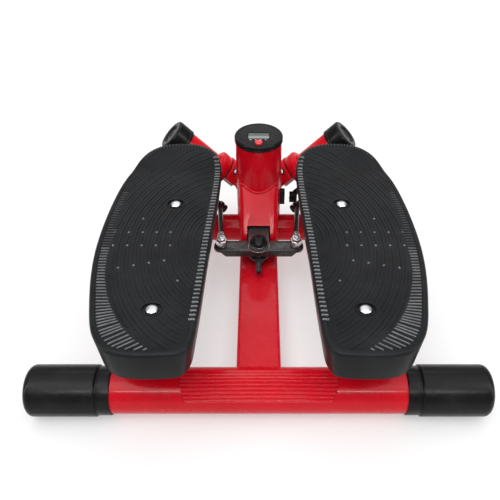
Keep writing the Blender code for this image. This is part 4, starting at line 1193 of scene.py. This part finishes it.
def link_pin(label, side):
    """Pin in the lever's lug that carries the link rod."""
    around = axis_frame(side)
    pin = [(0, 0.0955), (0.0070, 0.0955), (0.0080, 0.0947), (0.0080, 0.0903), (PIN_R, 0.0903),
           (PIN_R, 0.0545), (0.0030, 0.0540), (0.0030, 0.0444), (0.0058, 0.0442), (0.0062, 0.0436),
           (0.0062, 0.0406), (0.0056, 0.0400), (0, 0.0400)]
    spot = Matrix.Translation(lever_point(side, 0, LINK_OUT, LINK_Y)) @ around.to_3x3().to_4x4()
    piece = lathe("link_pin_" + label, pin, "black_steel", spot, SMALL)
    socket(piece, 0.0040, 0.006, spot, 0.0960)
    fit(piece, "arm_" + label)


def bushes_and_cap(label, side):
    """Nylon bushes at both ends of the sleeve and the cap over its open end."""
    body = "arm_" + label
    around = axis_frame(side)
    flanged = [(0.0240, 0.0783), (0.0240, 0.0763), (SHAFT_R + GAP, 0.0763), (SHAFT_R + GAP, 0.0980),
               (BUSH_R, 0.0980), (BUSH_R, 0.0783)]
    fit(lathe("inner_bush_" + label, flanged, "bush_nylon", around, closed=True), body)
    fit(tube("outer_bush_" + label, BUSH_R, SHAFT_R + GAP, 0.1300, 0.1507, "bush_nylon", around), body)
    cap = [(0, 0.1642), (0.0040, 0.1642), (0.0050, 0.1647), (0.0120, 0.1645), (0.0135, 0.1662),
           (0.0150, 0.1667), (0.0188, 0.1667), (0.0203, 0.1660), (CAP_R, 0.1645), (CAP_R, 0.1490),
           (0.0206, 0.1487), (0.0206, 0.1479), (CAP_R, 0.1476), (CAP_R, CAP_START),
           (SLEEVE_R + CLOSE, CAP_START), (SLEEVE_R + CLOSE, 0.1615), (0, 0.1615)]
    fit(lathe("sleeve_cap_" + label, cap, "black_plastic", around), body)


def box_arm(label, side):
    """Box tube under the pedal, cut around the sleeve, with the post for the damper."""
    around = axis_frame(side)
    place = arm_place(side)
    arm = block("pedal_arm_" + label, (-ARM_HALF, -0.1850, ARM_LOW), (ARM_HALF, 0.1400, ARM_TOP),
                "red_paint", place, bevel=0.0032, segments=5)
    wall = TUBE_WALL
    tools = [block("arm_inside", (-ARM_HALF + wall, -0.25, ARM_LOW + wall),
                   (ARM_HALF - wall, 0.25, ARM_TOP - wall), matrix=place, bevel=0.0012)]
    tools += [hole(around, low, 0.25, radius, ROUND)
              for low, radius in ((0.05, SLEEVE_R + CLOSE), (CAP_START - 0.0005, CAP_R + 2 * GAP))]
    tools += [hole(bolt_place(end, side), 0.11, 0.17, BOLT_HOLE_R) for end in PEDAL_BOLTS]
    cut(arm, *tools)
    way = around.to_3x3() @ Vector((0, 0, 1))
    head = mirrored(DAMPER_HEAD, side)
    post = rod("post", head - way * 0.0080, head + way * 0.0205, 0.0040)
    post_head = rod("post_head", head - way * 0.0080, head - way * 0.0055, 0.0072)
    merge(arm, post, post_head)
    fit(arm, "arm_" + label)


def pedal_bolt(end, label, side):
    profile = [(0, 0.1512)] + [(0.0060 * math.sin(a), 0.1489 + 0.0023 * math.cos(a))
                               for a in [math.radians(9 * i) for i in range(1, 11)]]
    profile += [(0.0060, 0.1486), (0.0040, 0.1486)] + threads(0.0040, 0.1185, 0.1360) + [(0, 0.1180)]
    name = "pedal_bolt_" + end + "_" + label
    fit(lathe(name, profile, "zinc_steel", bolt_place(end, side), SMALL, ease=0.0001), "arm_" + label)


def magnet_holder():
    """Forked holder on the right lever that passes beside the step sensor."""
    strip = axis_frame(1) @ Matrix.Rotation(math.atan2(-0.0293, 0.0063), 4, "Z")
    holder = block("magnet_holder", (0.0289, -0.0045, 0.0640), (0.0315, 0.0045, LUG_END),
                   "black_plastic", strip)
    pad = block("pad", (0.0274, -0.0040, LUG_START + 0.001), (0.0305, 0.0040, LUG_END - 0.001),
                matrix=strip)
    fork = block("fork", (0.0425, 0.1300, 0.0735), (0.0530, 0.1388, 0.0865), bevel=0.0007)
    for piece in (fork, holder):
        cut(piece, block("slot", (0.0300, 0.1200, 0.0778), (0.0485, 0.1500, 0.0822), bevel=0))
    merge(holder, pad, fork)
    fit(holder, "arm_right")


# --- Dampers ---
def damper(label, side):
    foot = mirrored(DAMPER_FOOT, side)
    head = mirrored(DAMPER_HEAD, side)
    turn = axis_frame(side).to_3x3().to_4x4()
    way = turn.to_3x3() @ Vector((0, 0, 1))
    aim = (head - foot).normalized()
    length = (head - foot).length
    clamp = tube("damper_bracket_" + label, FRONT_TUBE_R + 0.004, FRONT_TUBE_R + CLOSE, 0.131, 0.149,
                 "red_paint", along_x(FRONT_Y, FOOT_Z, side), ease=0.001)
    inner_end = foot - way * 0.0118
    root = mirrored((-0.1355, FRONT_Y - 0.0105, FOOT_Z + 0.0135), side)
    strut = rod("strut", inner_end - (root - inner_end).normalized() * 0.003, root, 0.0062)
    pin = rod("pin", inner_end - way * 0.003, foot + way * 0.0085, 0.0040)
    pin_head = rod("pin_head", foot + way * 0.0060, foot + way * 0.0085, 0.0070)
    cut(strut, tube_space(FRONT_Y, FRONT_TUBE_R))
    merge(clamp, strut, pin, pin_head)
    fit(clamp, "frame")

    eye = tube("damper_cylinder_" + label, 0.0082, 0.0044, -0.0045, 0.0045, "damper_black",
               Matrix.Translation(foot) @ turn, SMALL)
    profile = [(0.0036, 0.0640), (0.0088, 0.0640), (0.0095, 0.0634), (0.0095, 0.0610), (0.0110, 0.0596),
               (0.0110, 0.0570), (0.0106, 0.0566), (0.0106, 0.0556), (0.0110, 0.0552), (0.0110, 0.0150),
               (0.0085, 0.0125), (0.0060, 0.0105), (0.0045, 0.0070), (0, 0.0070), (0, 0.0180),
               (0.0036, 0.0180)]
    body = lathe("body", profile, None, shaft_frame(foot, aim), SMALL + 24, closed=True)
    merge(eye, body)
    fit(eye, "damper_" + label)
    piston = tube("damper_rod_" + label, 0.0085, 0.0050, -0.0040, 0.0040, "zinc_steel",
                  Matrix.Translation(head) @ turn, SMALL)
    stem = rod("stem", foot + aim * 0.0440, foot + aim * (length - 0.0065), 0.0032)
    merge(piston, stem)
    fit(piston, "piston_" + label)


# --- Assembly ---
base()
ribbed_saddle()
column()
housing()
display()
sensor()
rocker_bar()
for word, sign in SIDES.items():
    rocker_stud(word, sign)
rocker_fork()
rocker_fasteners()
pedals()
for word, sign in SIDES.items():
    foot_cap(word, "rear", REAR_Y, REAR_TUBE_R, REAR_CAP, sign)
    foot_cap(word, "front", FRONT_Y, FRONT_TUBE_R, FRONT_CAP, sign)
    pivot_hub(word, sign)
    pivot_shaft(word, sign)
    hub_screw(word, sign)
    gusset(word, sign)
    link_rod(word, sign)
    sleeve_and_lever(word, sign)
    link_pin(word, sign)
    bushes_and_cap(word, sign)
    box_arm(word, sign)
    for which in PEDAL_BOLTS:
        pedal_bolt(which, word, sign)
    if sign > 0:
        magnet_holder()
    damper(word, sign)
for name, slot in (("display_board", "board_green"), ("display_battery", "zinc_steel")):
    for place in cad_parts[name].material_slots:
        place.material = FINISHES[slot]

# --- Floor, light and camera ---
scene = bpy.context.scene
scene.view_settings.view_transform = "Standard"
floor_shape = bmesh.new()
bmesh.ops.create_circle(floor_shape, cap_ends=True, segments=64, radius=9)
floor = settle("floor", floor_shape)
floor.location.z = -0.0002
pale = finish("floor", (0.50, 0.50, 0.50), 0.7, light=(0.515, 0.515, 0.515), tone_scale=1.5, grain=200,
              strength=0.03, specular=0.1)
pale.node_tree.nodes["Principled BSDF"].inputs["Emission Color"].default_value = (1, 1, 1, 1)
pale.node_tree.nodes["Principled BSDF"].inputs["Emission Strength"].default_value = 0.42
floor.data.materials.append(pale)

world = bpy.data.worlds.new("studio")
scene.world = world
world.use_nodes = True
sky = world.node_tree
way = node(sky, "ShaderNodeTexCoord").outputs["Generated"]
height = node(sky, "ShaderNodeSeparateXYZ")
sky.links.new(way, height.inputs[0])
# the world grows brighter from the horizon to the zenith, and the camera sees a plain backdrop
glow = spread(sky, height.outputs["Z"], 0.62, 0.97, 0.42, 2.1, interpolation_type="SMOOTHSTEP")
sky.links.new(glow, sky.nodes["Background"].inputs["Strength"])
backdrop = node(sky, "ShaderNodeBackground")
backdrop.inputs["Strength"].default_value = 0.95
seen = node(sky, "ShaderNodeLightPath")
choose = node(sky, "ShaderNodeMixShader")
sky.links.new(seen.outputs["Is Camera Ray"], choose.inputs[0])
sky.links.new(sky.nodes["Background"].outputs[0], choose.inputs[1])
sky.links.new(backdrop.outputs[0], choose.inputs[2])
sky.links.new(choose.outputs[0], sky.nodes["World Output"].inputs["Surface"])
sky.nodes["Background"].inputs["Color"].default_value = (1, 1, 1, 1)
backdrop.inputs["Color"].default_value = (1, 1, 1, 1)


def lamp(name, place, target, size, power, gloss_only=False):
    light = bpy.data.lights.new(name, "AREA")
    light.shape = "RECTANGLE"
    light.size, light.size_y = size
    light.energy = power
    holder = bpy.data.objects.new(name, light)
    holder.location = place
    holder.rotation_euler = (Vector(target) - Vector(place)).to_track_quat("-Z", "Y").to_euler()
    holder.visible_diffuse = not gloss_only
    scene.collection.objects.link(holder)


lamp("key", (-0.5, -0.7, 1.7), (0, 0, 0.05), (1.4, 1.0), 9)
lamp("strip_front", (0.0, -0.9, 0.9), (0, 0.05, 0.05), (1.2, 0.10), 7, True)
lamp("strip_left", (-1.0, -0.4, 0.6), (0, 0, 0.08), (0.10, 1.0), 4, True)
lamp("strip_right", (1.0, -0.4, 0.6), (0, 0, 0.08), (0.10, 1.0), 4, True)
lamp("fill", (1.1, -0.6, 1.2), (0, 0, 0.05), (0.8, 1.2), 4)
lamp("back", (0.0, 1.3, 1.2), (0, 0, 0.1), (1.6, 0.5), 4)

eye = bpy.data.cameras.new("camera")
eye.lens = 41.83
eye.sensor_width = 36
eye.shift_x = -0.0174
eye.clip_start = 0.01
camera = bpy.data.objects.new("camera", eye)
camera.location = (0, -0.5175, 0.567)
camera.rotation_euler = (math.radians(48), 0, 0)
scene.collection.objects.link(camera)
scene.camera = camera

bpy.context.view_layer.update()
